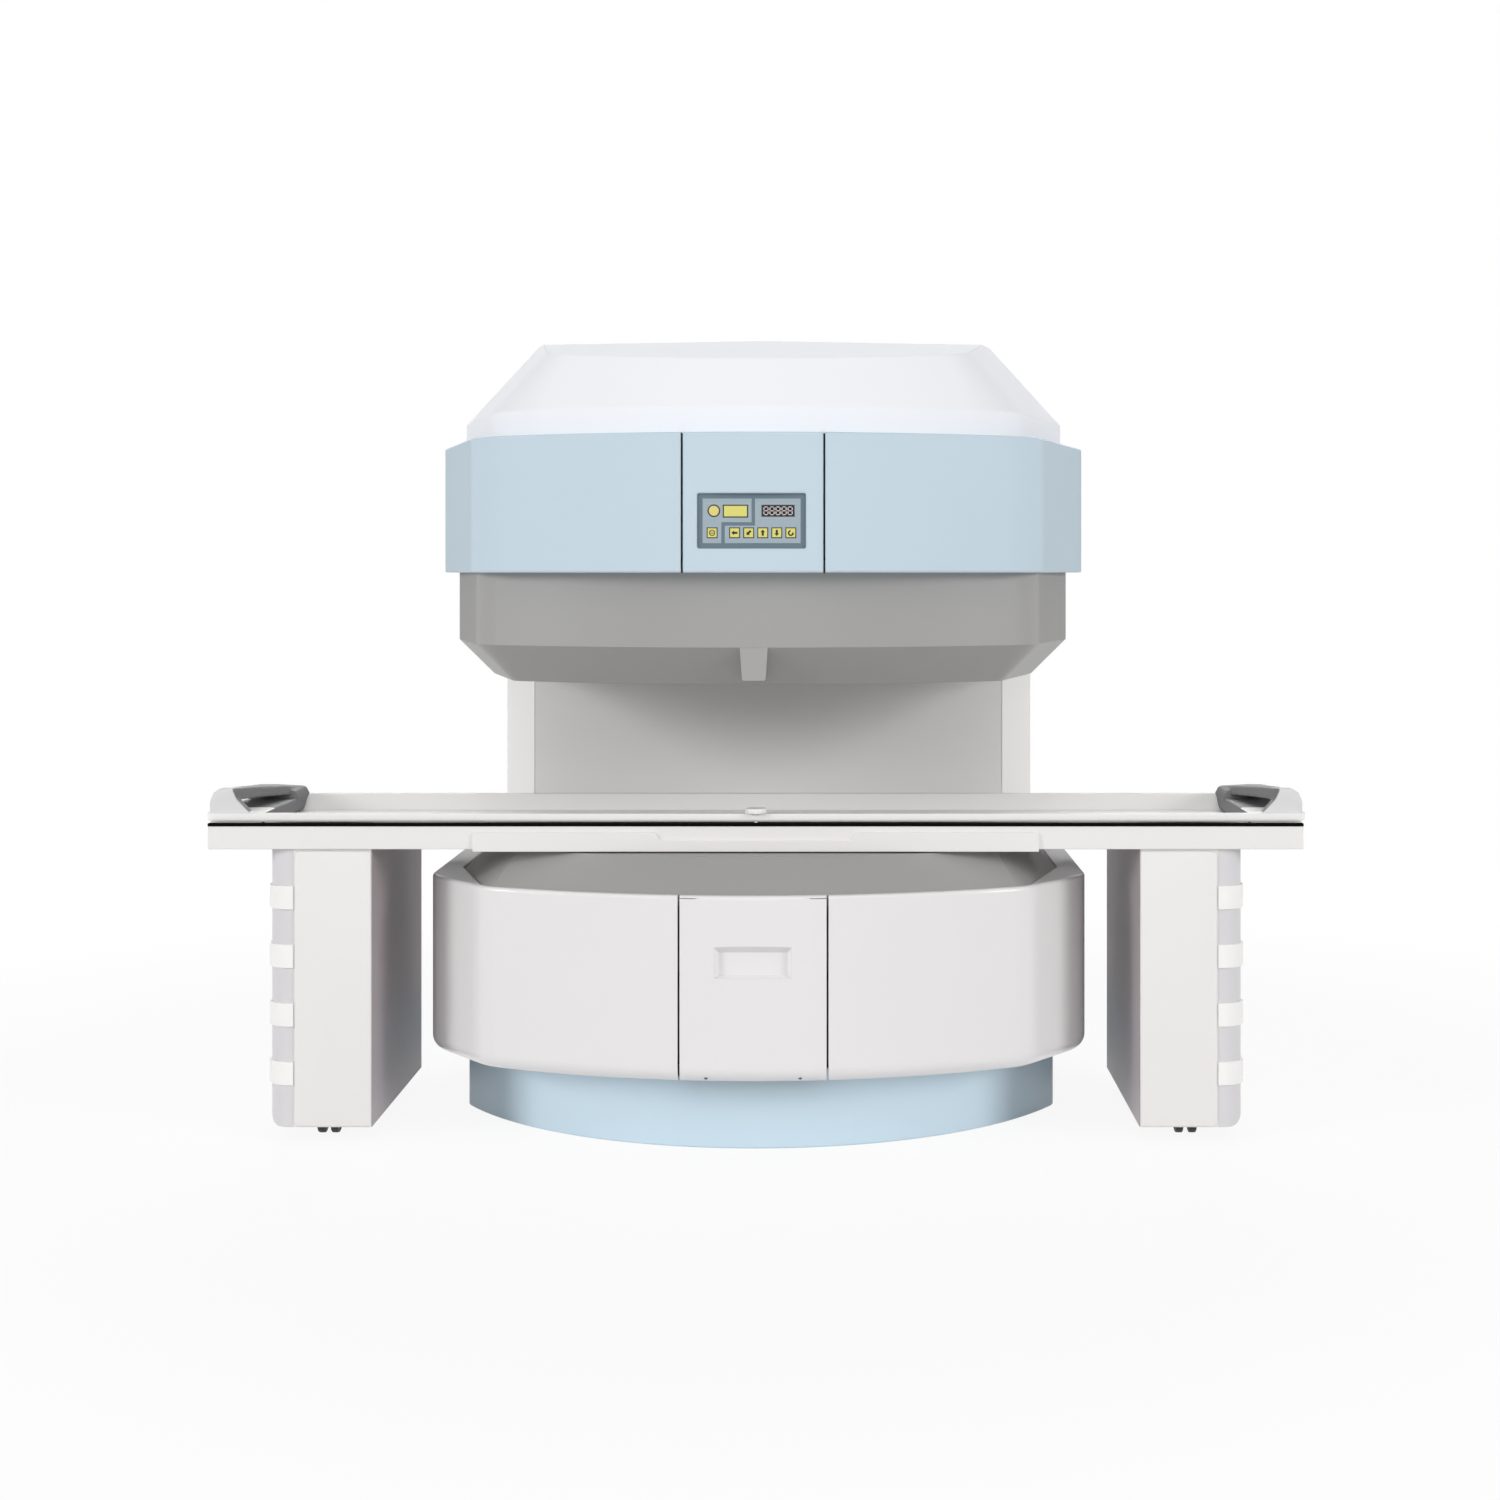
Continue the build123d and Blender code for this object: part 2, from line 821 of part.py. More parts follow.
key_back_y = panel_front_y + panel_thickness - key_travel - key_gap / 2
key_front_y = panel_front_y - overlay_relief - key_proud
for name, x in key_places.items():
    with BuildPart() as key:
        with BuildSketch(Plane.XZ.offset(-key_back_y)):
            with Locations((x, key_row_z)):
                Rectangle(key_size + 2 * key_flange, key_size + 2 * key_flange)
        extrude(amount=key_flange_depth)
        with BuildSketch(Plane.XZ.offset(-key_back_y)):
            with Locations((x, key_row_z)):
                Rectangle(key_size, key_size)
        extrude(amount=key_back_y - key_front_y)
        fillet(key.faces().sort_by(Axis.Y)[0].edges(), key_edge_radius)
    finish(key.part, name)

housing_front_y = -cover_front + frame_depth
with BuildPart() as control_housing:
    with BuildSketch(Plane.XZ.offset(-housing_front_y)):
        with Locations((display_x, display_z)):
            RectangleRounded(
                display_width + 2 * housing_margin,
                display_height + 2 * housing_margin,
                housing_corner,
            )
    extrude(amount=-housing_depth)
finish(control_housing.part, "control_housing")


# Top cover: an upright band, sloping sides and a shallow pointed roof
def roof_pitch(apex):
    """The room under the roof's four shallow faces, which meet at the apex."""
    side_drop = ring_half_width * tan(radians(roof_side_pitch))
    front_drop = (roof_ridge_y + cover_front) * tan(radians(roof_front_pitch))
    rear_drop = (cover_rear - roof_ridge_y) * tan(radians(roof_front_pitch))
    with BuildPart() as pitch:
        with BuildSketch(Plane.XZ.offset(cover_front)):
            with BuildLine():
                Polyline(
                    (-ring_half_width, ring_top - 1),
                    (ring_half_width, ring_top - 1),
                    (ring_half_width, apex - side_drop),
                    (0, apex),
                    (-ring_half_width, apex - side_drop),
                    close=True,
                )
            make_face()
        extrude(amount=-cover_front - cover_rear)
        with BuildSketch(Plane.YZ.offset(-ring_half_width)):
            with BuildLine():
                Polyline(
                    (-cover_front, ring_top - 1),
                    (cover_rear, ring_top - 1),
                    (cover_rear, apex - rear_drop),
                    (roof_ridge_y, apex),
                    (-cover_front, apex - front_drop),
                    close=True,
                )
            make_face()
        extrude(amount=2 * ring_half_width, mode=Mode.INTERSECT)
    return pitch.part


def roof_body(shrink):
    """The top cover's outer form, or its hollow when moved inwards."""
    plan = ring_plan._replace(corner=roof_corner)
    foot_inset = ring_overhang + shrink
    crest_inset = foot_inset + roof_height * tan(radians(roof_side_angle))
    with BuildPart() as body:
        extrude(cover_plan(plan, ring_top, foot_inset, shrink), amount=band_height)
        loft(
            Sketch() + [
                cover_plan(plan, band_top, foot_inset, shrink),
                cover_plan(plan, roof_top, crest_inset, shrink),
            ],
            ruled=True,
        )
        add(roof_pitch(roof_top - shrink), mode=Mode.INTERSECT)
    return body.part


with BuildPart() as top_cover:
    add(roof_body(0))
    add(roof_body(cover_wall), mode=Mode.SUBTRACT)
finish(top_cover.part, "top_cover")


# Rear column covers: a front panel, two side covers with splayed front faces, a rear panel
column_bottom = base_top
column_height = ring_bottom - base_top
with BuildPart() as column_front_cover:
    with BuildSketch(Plane.XY.offset(column_bottom)):
        with Locations((0, panel_front + cover_wall / 2)):
            Rectangle(2 * panel_half_width - seam / 2, cover_wall)
    extrude(amount=column_height)
finish(column_front_cover.part, "column_front_cover")

for name, side in (("left", -1), ("right", 1)):
    with BuildPart() as side_cover:
        with BuildSketch(Plane.XY.offset(column_bottom)):
            with BuildLine() as path:
                Polyline(
                    (side * panel_half_width, panel_front + cover_wall),
                    (side * panel_half_width, panel_front),
                    (side * side_cover_half_width, panel_front + side_cover_set_back),
                    (side * side_cover_half_width, cover_rear),
                    (side * (side_cover_half_width - cover_wall), cover_rear),
                    (
                        side * (side_cover_half_width - cover_wall),
                        panel_front + side_cover_set_back + cover_wall,
                    ),
                    close=True,
                )
            make_face()
        extrude(amount=column_height)
    finish(side_cover.part, f"column_side_cover_{name}")

with BuildPart() as column_rear_cover:
    with BuildSketch(Plane.XY.offset(column_bottom)):
        with Locations((0, cover_rear - cover_wall / 2)):
            Rectangle(2 * (side_cover_half_width - cover_wall), cover_wall)
    extrude(amount=column_height)
finish(column_rear_cover.part, "column_rear_cover")


# Table frame: front and rear rails, flat cross members, two guide rails for the board
def rail(front, name):
    with BuildPart() as beam:
        with BuildSketch(Plane.YZ.offset(-table_length / 2)):
            with Locations((front + rail_width / 2, rail_bottom + rail_height / 2)):
                Rectangle(rail_width, rail_height)
        extrude(amount=table_length)
        fillet(beam.edges().filter_by(Axis.X), rail_edge_radius)
    finish(beam.part, name)


rail(table_front, "front_rail")
rail(table_rear - rail_width, "rear_rail")

member_bottom = rail_bottom + member_lift
member_top = member_bottom + member_height
end_member_x = table_length / 2 - member_width / 2
member_xs = [
    side * x
    for x in (end_member_x, end_member_x - member_pitch / 2, end_member_x - 1.5 * member_pitch)
    for side in (-1, 1)
]
with BuildPart() as cross_members:
    with BuildSketch(Plane.XY.offset(member_bottom)):
        with Locations(*[(x, (table_front + table_rear) / 2) for x in member_xs]):
            Rectangle(member_width, table_depth - 2 * rail_width)
    extrude(amount=member_height)
finish(cross_members.part, "cross_members")

board_centre_y = board_front + board_width / 2
glide_x = end_member_x - 1.5 * member_pitch + glide_offset
guide_ys = [
    board_front + guide_y_inset,
    board_front + board_width - guide_y_inset,
]
with BuildPart() as guide_rails:
    with BuildSketch(Plane.XY.offset(member_top)):
        with Locations(*[(0, y) for y in guide_ys]):
            Rectangle(table_length - 2 * guide_end_gap, guide_width)
    extrude(amount=guide_height)
finish(guide_rails.part, "guide_rails")

with BuildPart() as apron:
    with BuildSketch(Plane.XZ.offset(-table_front)) as apron_face:
        with BuildLine():
            Polyline(
                (-apron_half_width, apron_bottom),
                (apron_half_width, apron_bottom),
                (apron_half_width, apron_bottom + apron_height),
                (apron_dip_half_width, apron_bottom + apron_height),
                (apron_dip_half_width - apron_dip / 2, apron_bottom + apron_height - apron_dip),
                (apron_dip / 2 - apron_dip_half_width, apron_bottom + apron_height - apron_dip),
                (-apron_dip_half_width, apron_bottom + apron_height),
                (-apron_half_width, apron_bottom + apron_height),
                close=True,
            )
        make_face()
        fillet(apron_face.vertices().group_by(Axis.Y)[-1], apron_corner)
        fillet(apron_face.vertices().group_by(Axis.Y)[1], apron_dip / 3)
    extrude(amount=apron_thickness)
    fillet(apron.faces().sort_by(Axis.Y)[0].edges(), rail_edge_radius)
finish(apron.part, "apron")


# Table legs: folded cabinets with a rounded outer side, open below where the casters sit
leg_front = table_front + leg_inset
leg_rear = table_rear - leg_inset


def leg_plan(height, inset=0.0, outset=0.0):
    """Plan of the right leg; the outer corners are rounded and the inner ones nearly square."""
    with BuildSketch(Plane.XY.offset(height)) as outline:
        with BuildLine():
            Polyline(
                (leg_inner_x + inset, leg_front + inset - outset),
                (leg_outer_x - inset + outset, leg_front + inset - outset),
                (leg_outer_x - inset + outset, leg_rear - inset + outset),
                (leg_inner_x + inset, leg_rear - inset + outset),
                close=True,
            )
        make_face()
        fillet(outline.vertices().group_by(Axis.X)[-1], leg_corner - inset + outset)
        if not outset:
            fillet(outline.vertices().group_by(Axis.X)[0], leg_inner_corner - inset)
    return outline.sketch


def leg_form(inset):
    """The right leg's outer form with its rounded foot, or its hollow when moved inwards."""
    low, high = leg_bottom + inset, rail_bottom - inset
    with BuildPart() as form:
        extrude(leg_plan(low, inset), amount=high - low)
        with BuildSketch(Plane.XZ.offset(-leg_rear)) as side_view:
            with Locations(((leg_inner_x + leg_outer_x) / 2, (low + high) / 2)):
                Rectangle(leg_width - 2 * inset, high - low)
            outer_foot = side_view.vertices().group_by(Axis.Y)[0].sort_by(Axis.X)[-1]
            fillet(outer_foot, leg_foot_radius - inset)
        extrude(amount=leg_rear - leg_front, mode=Mode.INTERSECT)
    return form.part


with BuildPart() as leg_right:
    add(leg_form(0))
    add(leg_form(leg_wall), mode=Mode.SUBTRACT)
    add(
        block(
            (leg_inner_x + leg_wall, leg_outer_x - leg_foot_radius),
            (leg_front + leg_foot_lip, leg_rear - leg_foot_lip),
            (leg_bottom - 1, leg_bottom + 2 * leg_wall),
        ),
        mode=Mode.SUBTRACT,
    )
finish(leg_right.part, "leg_right")
finish(mirror(leg_right.part, about=Plane.YZ), "leg_left")

with BuildPart() as bands_right:
    for i in range(band_count):
        low = band_lowest + i * band_pitch - band_width / 2
        extrude(leg_plan(low, outset=band_thickness), amount=band_width)
        extrude(leg_plan(low), amount=band_width, mode=Mode.SUBTRACT)
    band_start = leg_outer_x - leg_corner - band_reach
    add(
        block((leg_inner_x - 10, band_start), (leg_front - 50, leg_rear + 50), (0, rail_bottom)),
        mode=Mode.SUBTRACT,
    )
    fillet(bands_right.edges().filter_by(Axis.X).group_by(Axis.Y)[0], band_edge_radius)
with BuildPart() as leg_bands:
    add(bands_right.part)
    add(mirror(bands_right.part, about=Plane.YZ))
finish(leg_bands.part, "leg_bands")

caster_spots = {
    "front_left": (-caster_x, caster_front_y),
    "front_right": (caster_x, caster_front_y),
    "rear_left": (-caster_x, caster_rear_y),
    "rear_right": (caster_x, caster_rear_y),
}
leg_plate_bottom = swivel_top + slide_clearance
with BuildPart() as leg_base_plates:
    for side in (-1, 1):
        outline = leg_plan(leg_plate_bottom, leg_wall)
        extrude(mirror(outline, about=Plane.YZ) if side < 0 else outline, amount=leg_plate_thickness)
    with Locations(*[(x, y, leg_plate_bottom) for x, y in caster_spots.values()]):
        Cylinder(
            stem_post_radius + running_clearance,
            leg_plate_thickness,
            align=(Align.CENTER, Align.CENTER, Align.MIN),
            mode=Mode.SUBTRACT,
        )
finish(leg_base_plates.part, "leg_base_plates")


# Twin wheel casters: a swivel body with a centre web, and two wheels turned with their axle
axle_z = wheel_radius
for name, (x, y) in caster_spots.items():
    axle_y = y + caster_trail
    with BuildPart() as fork:
        with Locations((x, y, swivel_top - swivel_height)):
            Cylinder(swivel_radius, swivel_height, align=(Align.CENTER, Align.CENTER, Align.MIN))
        with Locations((x, y, swivel_top)):
            Cylinder(
                stem_post_radius,
                leg_plate_thickness + 4,
                align=(Align.CENTER, Align.CENTER, Align.MIN),
            )
        with BuildSketch(Plane.YZ.offset(x - web_width / 2)):
            with BuildLine():
                Polyline(
                    (y - swivel_radius * 0.7, swivel_top - swivel_height / 2),
                    (y + swivel_radius * 0.9, swivel_top - swivel_height / 2),
                    (axle_y + web_radius, axle_z),
                    (axle_y - web_radius, axle_z),
                    close=True,
                )
            make_face()
            with Locations((axle_y, axle_z)):
                Circle(web_radius)
        extrude(amount=web_width)
        with BuildSketch(Plane.YZ.offset(x - web_width)):
            with Locations((axle_y, axle_z)):
                Circle(axle_radius + running_clearance)
        extrude(amount=2 * web_width, mode=Mode.SUBTRACT)
    finish(fork.part, f"caster_fork_{name}")
    inner = web_width / 2 + web_gap
    outer = inner + wheel_width
    with BuildPart() as wheels:
        with BuildSketch(Plane((x, axle_y, axle_z), x_dir=(1, 0, 0), z_dir=(0, -1, 0))):
            with BuildLine():
                Polyline(
                    (-outer, 0),
                    (-outer, wheel_radius - tread_shoulder),
                    (-outer + tread_flat, wheel_radius),
                    (-inner, wheel_radius),
                    (-inner, axle_radius),
                    (inner, axle_radius),
                    (inner, wheel_radius),
                    (outer - tread_flat, wheel_radius),
                    (outer, wheel_radius - tread_shoulder),
                    (outer, 0),
                    close=True,
                )
            make_face()
        revolve(axis=Axis((x, axle_y, axle_z), (1, 0, 0)))
    finish(wheels.part, f"caster_wheels_{name}")


# Sliding board: a long shallow trough with a flat rim, carried on four glides
def trough_plan(height, rim, end_rim, corner):
    """Rounded rectangle of the board at a height, inside the given rim widths."""
    with BuildSketch(Plane.XY.offset(height)) as outline:
        with Locations((0, board_centre_y)):
            RectangleRounded(board_length - 2 * end_rim, board_width - 2 * rim, corner)
    return outline.sketch


foot_rim = board_rim + board_slope
foot_end_rim = board_end_rim + board_slope


def trough_cavity():
    """The room inside the trough, narrower at its floor than at its rim."""
    with BuildPart() as cavity:
        loft(
            Sketch() + [
                trough_plan(rim_top, board_rim, board_end_rim, trough_corner),
                trough_plan(trough_floor, foot_rim, foot_end_rim, trough_corner),
            ],
            ruled=True,
        )
    return cavity.part


with BuildPart() as board:
    extrude(trough_plan(rim_bottom, 0, 0, board_corner), amount=board_edge)
    fillet(board.faces().sort_by(Axis.Z)[0].edges(), board_lip_radius)
    hull_corner = trough_corner + board_floor
    loft(
        Sketch() + [
            trough_plan(
                rim_bottom + 1, board_rim - board_floor, board_end_rim - board_floor, hull_corner
            ),
            trough_plan(
                board_underside, foot_rim - board_floor, foot_end_rim - board_floor, hull_corner
            ),
        ],
        ruled=True,
    )
    add(trough_cavity(), mode=Mode.SUBTRACT)
    with Locations((0, knob_y, rim_bottom - 5)):
        Cylinder(
            stem_radius + running_clearance,
            board_edge + 10,
            align=(Align.CENTER, Align.CENTER, Align.MIN),
            mode=Mode.SUBTRACT,
        )
finish(board.part, "board")

guide_top = member_top + guide_height
with BuildPart() as board_glides:
    for y in guide_ys:
        with BuildSketch(Plane.YZ.offset(-glide_length / 2)) as glide_section:
            with BuildLine():
                half_outer = guide_width / 2 + glide_wall
                half_inner = guide_width / 2 + slide_clearance
                Polyline(
                    (y - half_outer, board_underside),
                    (y + half_outer, board_underside),
                    (y + half_outer, member_top + glide_lift),
                    (y + half_inner, member_top + glide_lift),
                    (y + half_inner, guide_top + slide_clearance),
                    (y - half_inner, guide_top + slide_clearance),
                    (y - half_inner, member_top + glide_lift),
                    (y - half_outer, member_top + glide_lift),
                    close=True,
                )
            make_face()
        glide = extrude(amount=glide_length, mode=Mode.PRIVATE)
        add(Pos(-glide_x, 0, 0) * glide)
        add(Pos(glide_x, 0, 0) * glide)
finish(board_glides.part, "board_glides")


# End handles: a moulded loop over each end of the board, high at the front and sloping to the rear
handle_front = board_front + handle_inset
handle_back = board_front + board_width - handle_inset
handle_outer_x = board_length / 2 - handle_inset
near_top = rim_top + handle_near_rise
far_top = rim_top + handle_far_rise
with BuildPart() as loop_bar:
    with BuildSketch(Plane.XZ.offset(-handle_front)) as near_end:
        with BuildLine():
            Polyline(
                (handle_outer_x, trough_floor),
                (handle_outer_x, near_top),
                (handle_outer_x - handle_near_crown, near_top),
                (handle_outer_x - handle_near_waist, rim_top + handle_waist_rise),
                (handle_outer_x - handle_near_foot, trough_floor),
                close=True,
            )
        make_face()
    with BuildSketch(Plane.XZ.offset(-handle_back)) as far_end:
        with BuildLine():
            Polyline(
                (handle_outer_x, trough_floor),
                (handle_outer_x, far_top),
                (handle_outer_x - handle_far_crown, far_top - handle_far_fall),
                (handle_outer_x - (handle_far_crown + handle_far_foot) / 2, rim_top - handle_far_fall),
                (handle_outer_x - handle_far_foot, trough_floor),
                close=True,
            )
        make_face()
    loft(Sketch() + [near_end.sketch, far_end.sketch], ruled=True)

slope = (near_top - far_top) / (handle_back - handle_front)
hole_top = near_top - handle_band
hole_front = handle_front + handle_leg
hole_back = hole_front + grip_hole_length
with BuildPart() as loop:
    with BuildSketch(Plane.YZ.offset(handle_outer_x - handle_far_foot)) as side_view:
        with BuildLine():
            Polyline(
                (handle_front, trough_floor),
                (handle_front, near_top + slope),
                (handle_back, far_top + slope),
                (handle_back, trough_floor),
                close=True,
            )
        make_face()
        fillet(side_view.vertices().sort_by(Axis.Y)[-1], handle_shoulder)
        with BuildLine():
            Polyline(
                (hole_front, rim_top),
                (hole_front, hole_top),
                (hole_back - handle_band, hole_top - slope * grip_hole_length),
                (hole_back, rim_top),
                close=True,
            )
        make_face(mode=Mode.SUBTRACT)
        hole_corners = side_view.vertices().filter_by(
            lambda v: hole_front - 1 < v.X < hole_back - 1 and rim_top + 1 < v.Y < hole_top + 1
        )
        fillet(hole_corners, grip_hole_radius)
    extrude(amount=handle_far_foot)
    add(loop_bar.part, mode=Mode.INTERSECT)
    above_rim = block(
        (0, board_length), (handle_front - 1, handle_back + 1), (rim_top, near_top + handle_band)
    )
    add((trough_cavity() + above_rim), mode=Mode.INTERSECT)
    upper_edges = loop.edges().filter_by(lambda e: e.center().Z > rim_top + 1.5 * handle_edge_radius)
    fillet(upper_edges, handle_edge_radius)
finish(loop.part, "end_handle_right")
finish(mirror(loop.part, about=Plane.YZ), "end_handle_left")

with BuildPart() as lock_knob:
    with Locations((0, knob_y, rim_top + slide_clearance)):
        Cylinder(knob_radius, knob_height, align=(Align.CENTER, Align.CENTER, Align.MIN))
    fillet(lock_knob.edges().filter_by(GeomType.CIRCLE).group_by(Axis.Z)[-1], knob_edge_radius)
    with Locations((0, knob_y, rail_top + slide_clearance)):
        Cylinder(
            stem_radius,
            rim_top - rail_top + 1,
            align=(Align.CENTER, Align.CENTER, Align.MIN),
        )
finish(lock_knob.part, "lock_knob")
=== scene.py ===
# Open magnetic resonance scanner with its patient table.
# Metres. X runs along the table, Y from the front of the magnet to its rear column, Z up.

import math

import bmesh
import bpy
from mathutils import Matrix, Vector


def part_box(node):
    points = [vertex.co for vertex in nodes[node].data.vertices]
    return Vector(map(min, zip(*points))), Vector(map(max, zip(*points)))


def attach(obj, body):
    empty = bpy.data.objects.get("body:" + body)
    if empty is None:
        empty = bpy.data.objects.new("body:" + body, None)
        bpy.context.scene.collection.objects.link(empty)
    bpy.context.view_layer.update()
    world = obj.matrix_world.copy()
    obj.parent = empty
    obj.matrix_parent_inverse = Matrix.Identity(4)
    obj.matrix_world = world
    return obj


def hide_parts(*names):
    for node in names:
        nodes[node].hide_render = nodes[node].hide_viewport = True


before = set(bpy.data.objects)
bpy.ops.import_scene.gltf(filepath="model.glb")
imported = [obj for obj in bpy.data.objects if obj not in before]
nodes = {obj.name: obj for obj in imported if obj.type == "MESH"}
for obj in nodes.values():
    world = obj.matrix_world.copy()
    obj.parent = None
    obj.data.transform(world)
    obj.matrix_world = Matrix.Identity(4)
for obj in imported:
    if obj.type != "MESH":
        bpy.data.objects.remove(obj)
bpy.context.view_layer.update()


# Camera: a 53 mm lens at chest height, a little to the right of the magnet's centre.
# It looks straight ahead, so uprights stay upright, and its shift frames the object.
lens = bpy.data.cameras.new("camera")
lens.lens = 53.09
lens.sensor_width = 36
lens.shift_x = -0.0555
lens.shift_y = -0.12
camera = bpy.data.objects.new("camera", lens)
camera.location = (0.17, -5.339, 1.26)
camera.rotation_euler = (math.radians(90), 0, 0)
bpy.context.scene.collection.objects.link(camera)
bpy.context.scene.camera = camera
bpy.context.scene.view_settings.view_transform = "Standard"


# Studio: a pale floor that runs out into white, lit by broad soft lights set far off to each side,
# in front, above and behind. The floor keeps a faint shadow near the object.
def tree_of(material):
    """The empty node tree of a material or world, ready to be filled."""
    material.use_nodes = True
    material.node_tree.nodes.clear()
    return material.node_tree


def add_node(tree, kind, **values):
    """A node with its options and its input values set by name."""
    node = tree.nodes.new(kind)
    for key, value in values.items():
        if key in node.inputs:
            node.inputs[key].default_value = value
        else:
            setattr(node, key, value)
    return node


def worked_out(tree, operation, *terms):
    """The result of one sum on sockets and plain numbers."""
    node = add_node(tree, "ShaderNodeMath", operation=operation)
    for port, term in zip(node.inputs, terms):
        if isinstance(term, bpy.types.NodeSocket):
            tree.links.new(term, port)
        else:
            port.default_value = term
    return node.outputs[0]


def eased(tree, value, start, end, lowest=0.0):
    """Rises smoothly from a lowest value to 1 while another value passes from start to end."""
    ramp = add_node(tree, "ShaderNodeMapRange", interpolation_type="SMOOTHSTEP")
    ramp.inputs["From Min"].default_value = start
    ramp.inputs["From Max"].default_value = end
    ramp.inputs["To Min"].default_value = lowest
    tree.links.new(value, ramp.inputs["Value"])
    return ramp.outputs["Result"]


def seen_directly(tree):
    """1 for rays from the camera, a mirror or a clear piece, and 0 for those that only light."""
    rays = add_node(tree, "ShaderNodeLightPath").outputs
    mirrored = worked_out(tree, "MAXIMUM", rays["Is Camera Ray"], rays["Is Glossy Ray"])
    return worked_out(tree, "MAXIMUM", mirrored, rays["Is Transmission Ray"])


def laid_over(tree, share, under, over, output_kind):
    """Sends out one shader where the share is 0 and another where it is 1."""
    blend = add_node(tree, "ShaderNodeMixShader")
    output = add_node(tree, output_kind)
    tree.links.new(share, blend.inputs["Fac"])
    tree.links.new(under.outputs[0], blend.inputs[1])
    tree.links.new(over.outputs[0], blend.inputs[2])
    tree.links.new(blend.outputs[0], output.inputs["Surface"])


def studio_sheet(name, paint, placing):
    """A flat sheet of the studio, from a level square of 2 m that a matrix sizes and places."""
    form = bmesh.new()
    bmesh.ops.create_grid(form, x_segments=1, y_segments=1, size=1)
    bmesh.ops.transform(form, matrix=placing, verts=form.verts)
    mesh = bpy.data.meshes.new(name)
    form.to_mesh(mesh)
    form.free()
    mesh.materials.append(paint)
    sheet = bpy.data.objects.new(name, mesh)
    bpy.context.scene.collection.objects.link(sheet)
    return sheet


white = (1, 1, 1, 1)
floor_grey = (0.9, 0.9, 0.9, 1)
floor_half = 40
floor_near = 1.5
floor_far = 3.4
floor_glow = 0.9
floor_paint = bpy.data.materials.new("studio_floor")
tree = tree_of(floor_paint)
place = add_node(tree, "ShaderNodeTexCoord")
reach = add_node(tree, "ShaderNodeVectorMath", operation="LENGTH")
tree.links.new(place.outputs["Object"], reach.inputs[0])
fade = eased(tree, reach.outputs["Value"], floor_near, floor_far, lowest=floor_glow)
share = worked_out(tree, "MULTIPLY", fade, seen_directly(tree))
matt = add_node(tree, "ShaderNodeBsdfDiffuse", Color=floor_grey)
glow = add_node(tree, "ShaderNodeEmission", Color=white, Strength=1)
laid_over(tree, share, matt, glow, "ShaderNodeOutputMaterial")
floor = studio_sheet("studio_floor", floor_paint, Matrix.Diagonal((floor_half, floor_half, 1, 1)))

room_light = 0.22
world = bpy.data.worlds.new("studio")
bpy.context.scene.world = world
tree = tree_of(world)
dim = add_node(tree, "ShaderNodeBackground", Color=white, Strength=room_light)
bright = add_node(tree, "ShaderNodeBackground", Color=white, Strength=1)
laid_over(tree, seen_directly(tree), dim, bright, "ShaderNodeOutputWorld")


def far_light(name, bearing, rise, spread, strength):
    """A broad, even light far away: its bearing from straight ahead, its height and its spread."""
    lamp = bpy.data.lights.new(name, "SUN")
    lamp.angle = math.radians(spread)
    lamp.energy = strength
    light = bpy.data.objects.new(name, lamp)
    round_angle, up_angle = math.radians(bearing), math.radians(rise)
    level = math.cos(up_angle)
    toward = Vector(
        (math.sin(round_angle) * level, -math.cos(round_angle) * level, math.sin(up_angle))
    )
    light.rotation_euler = toward.to_track_quat("Z", "Y").to_euler()
    bpy.context.scene.collection.objects.link(light)


far_light("light_left", -60, 17, 20, 1.32)
far_light("light_right", 60, 17, 20, 1.2)
far_light("light_front", 0, 10, 30, 0.42)
far_light("light_above", 0, 55, 50, 0.45)
far_light("light_behind", 180, 18, 40, 1.5)


# Gloss card: a wide sheet of dark felt that stands far behind the object.
# Only gloss mirrors it, so glossy edges aren't blown out to white, and it hides and lights nothing.
card_half_width = 7
card_half_height = 1.6
card_middle_z = 1.75
card_back_y = 9
card_tone = (0.02, 0.02, 0.022, 1)
card_roughness = 0.9
card_paint = bpy.data.materials.new("card_felt")
card_paint.use_nodes = True
card_shader = card_paint.node_tree.nodes["Principled BSDF"]
card_shader.inputs["Base Color"].default_value = card_tone
card_shader.inputs["Roughness"].default_value = card_roughness
upright = Matrix.Rotation(math.radians(90), 4, "X")
card_size = Matrix.Diagonal((card_half_width, card_half_height, 1, 1))
card = studio_sheet("gloss_card", card_paint,
                    Matrix.Translation((0, card_back_y, card_middle_z)) @ upright @ card_size)
card.visible_camera = False
card.visible_diffuse = False
card.visible_shadow = False
card.visible_transmission = False


# Steel of the magnet: base plate, two yokes and the rear column that carries the upper one.
# Thick mild steel, flame cut and milled, painted dark grey, bolted together under the covers.
def linear(colour):
    """A colour as a shader wants it, from its values of 0 to 255 on a screen."""
    parts = [c / 255 for c in colour]
    return tuple(p / 12.92 if p < 0.04045 else ((p + 0.055) / 1.055) ** 2.4 for p in parts) + (1,)


# A colour mix has its two colours in inputs 6 and 7, and its result in output 2.
first_colour, second_colour, mixed_colour = 6, 7, 2


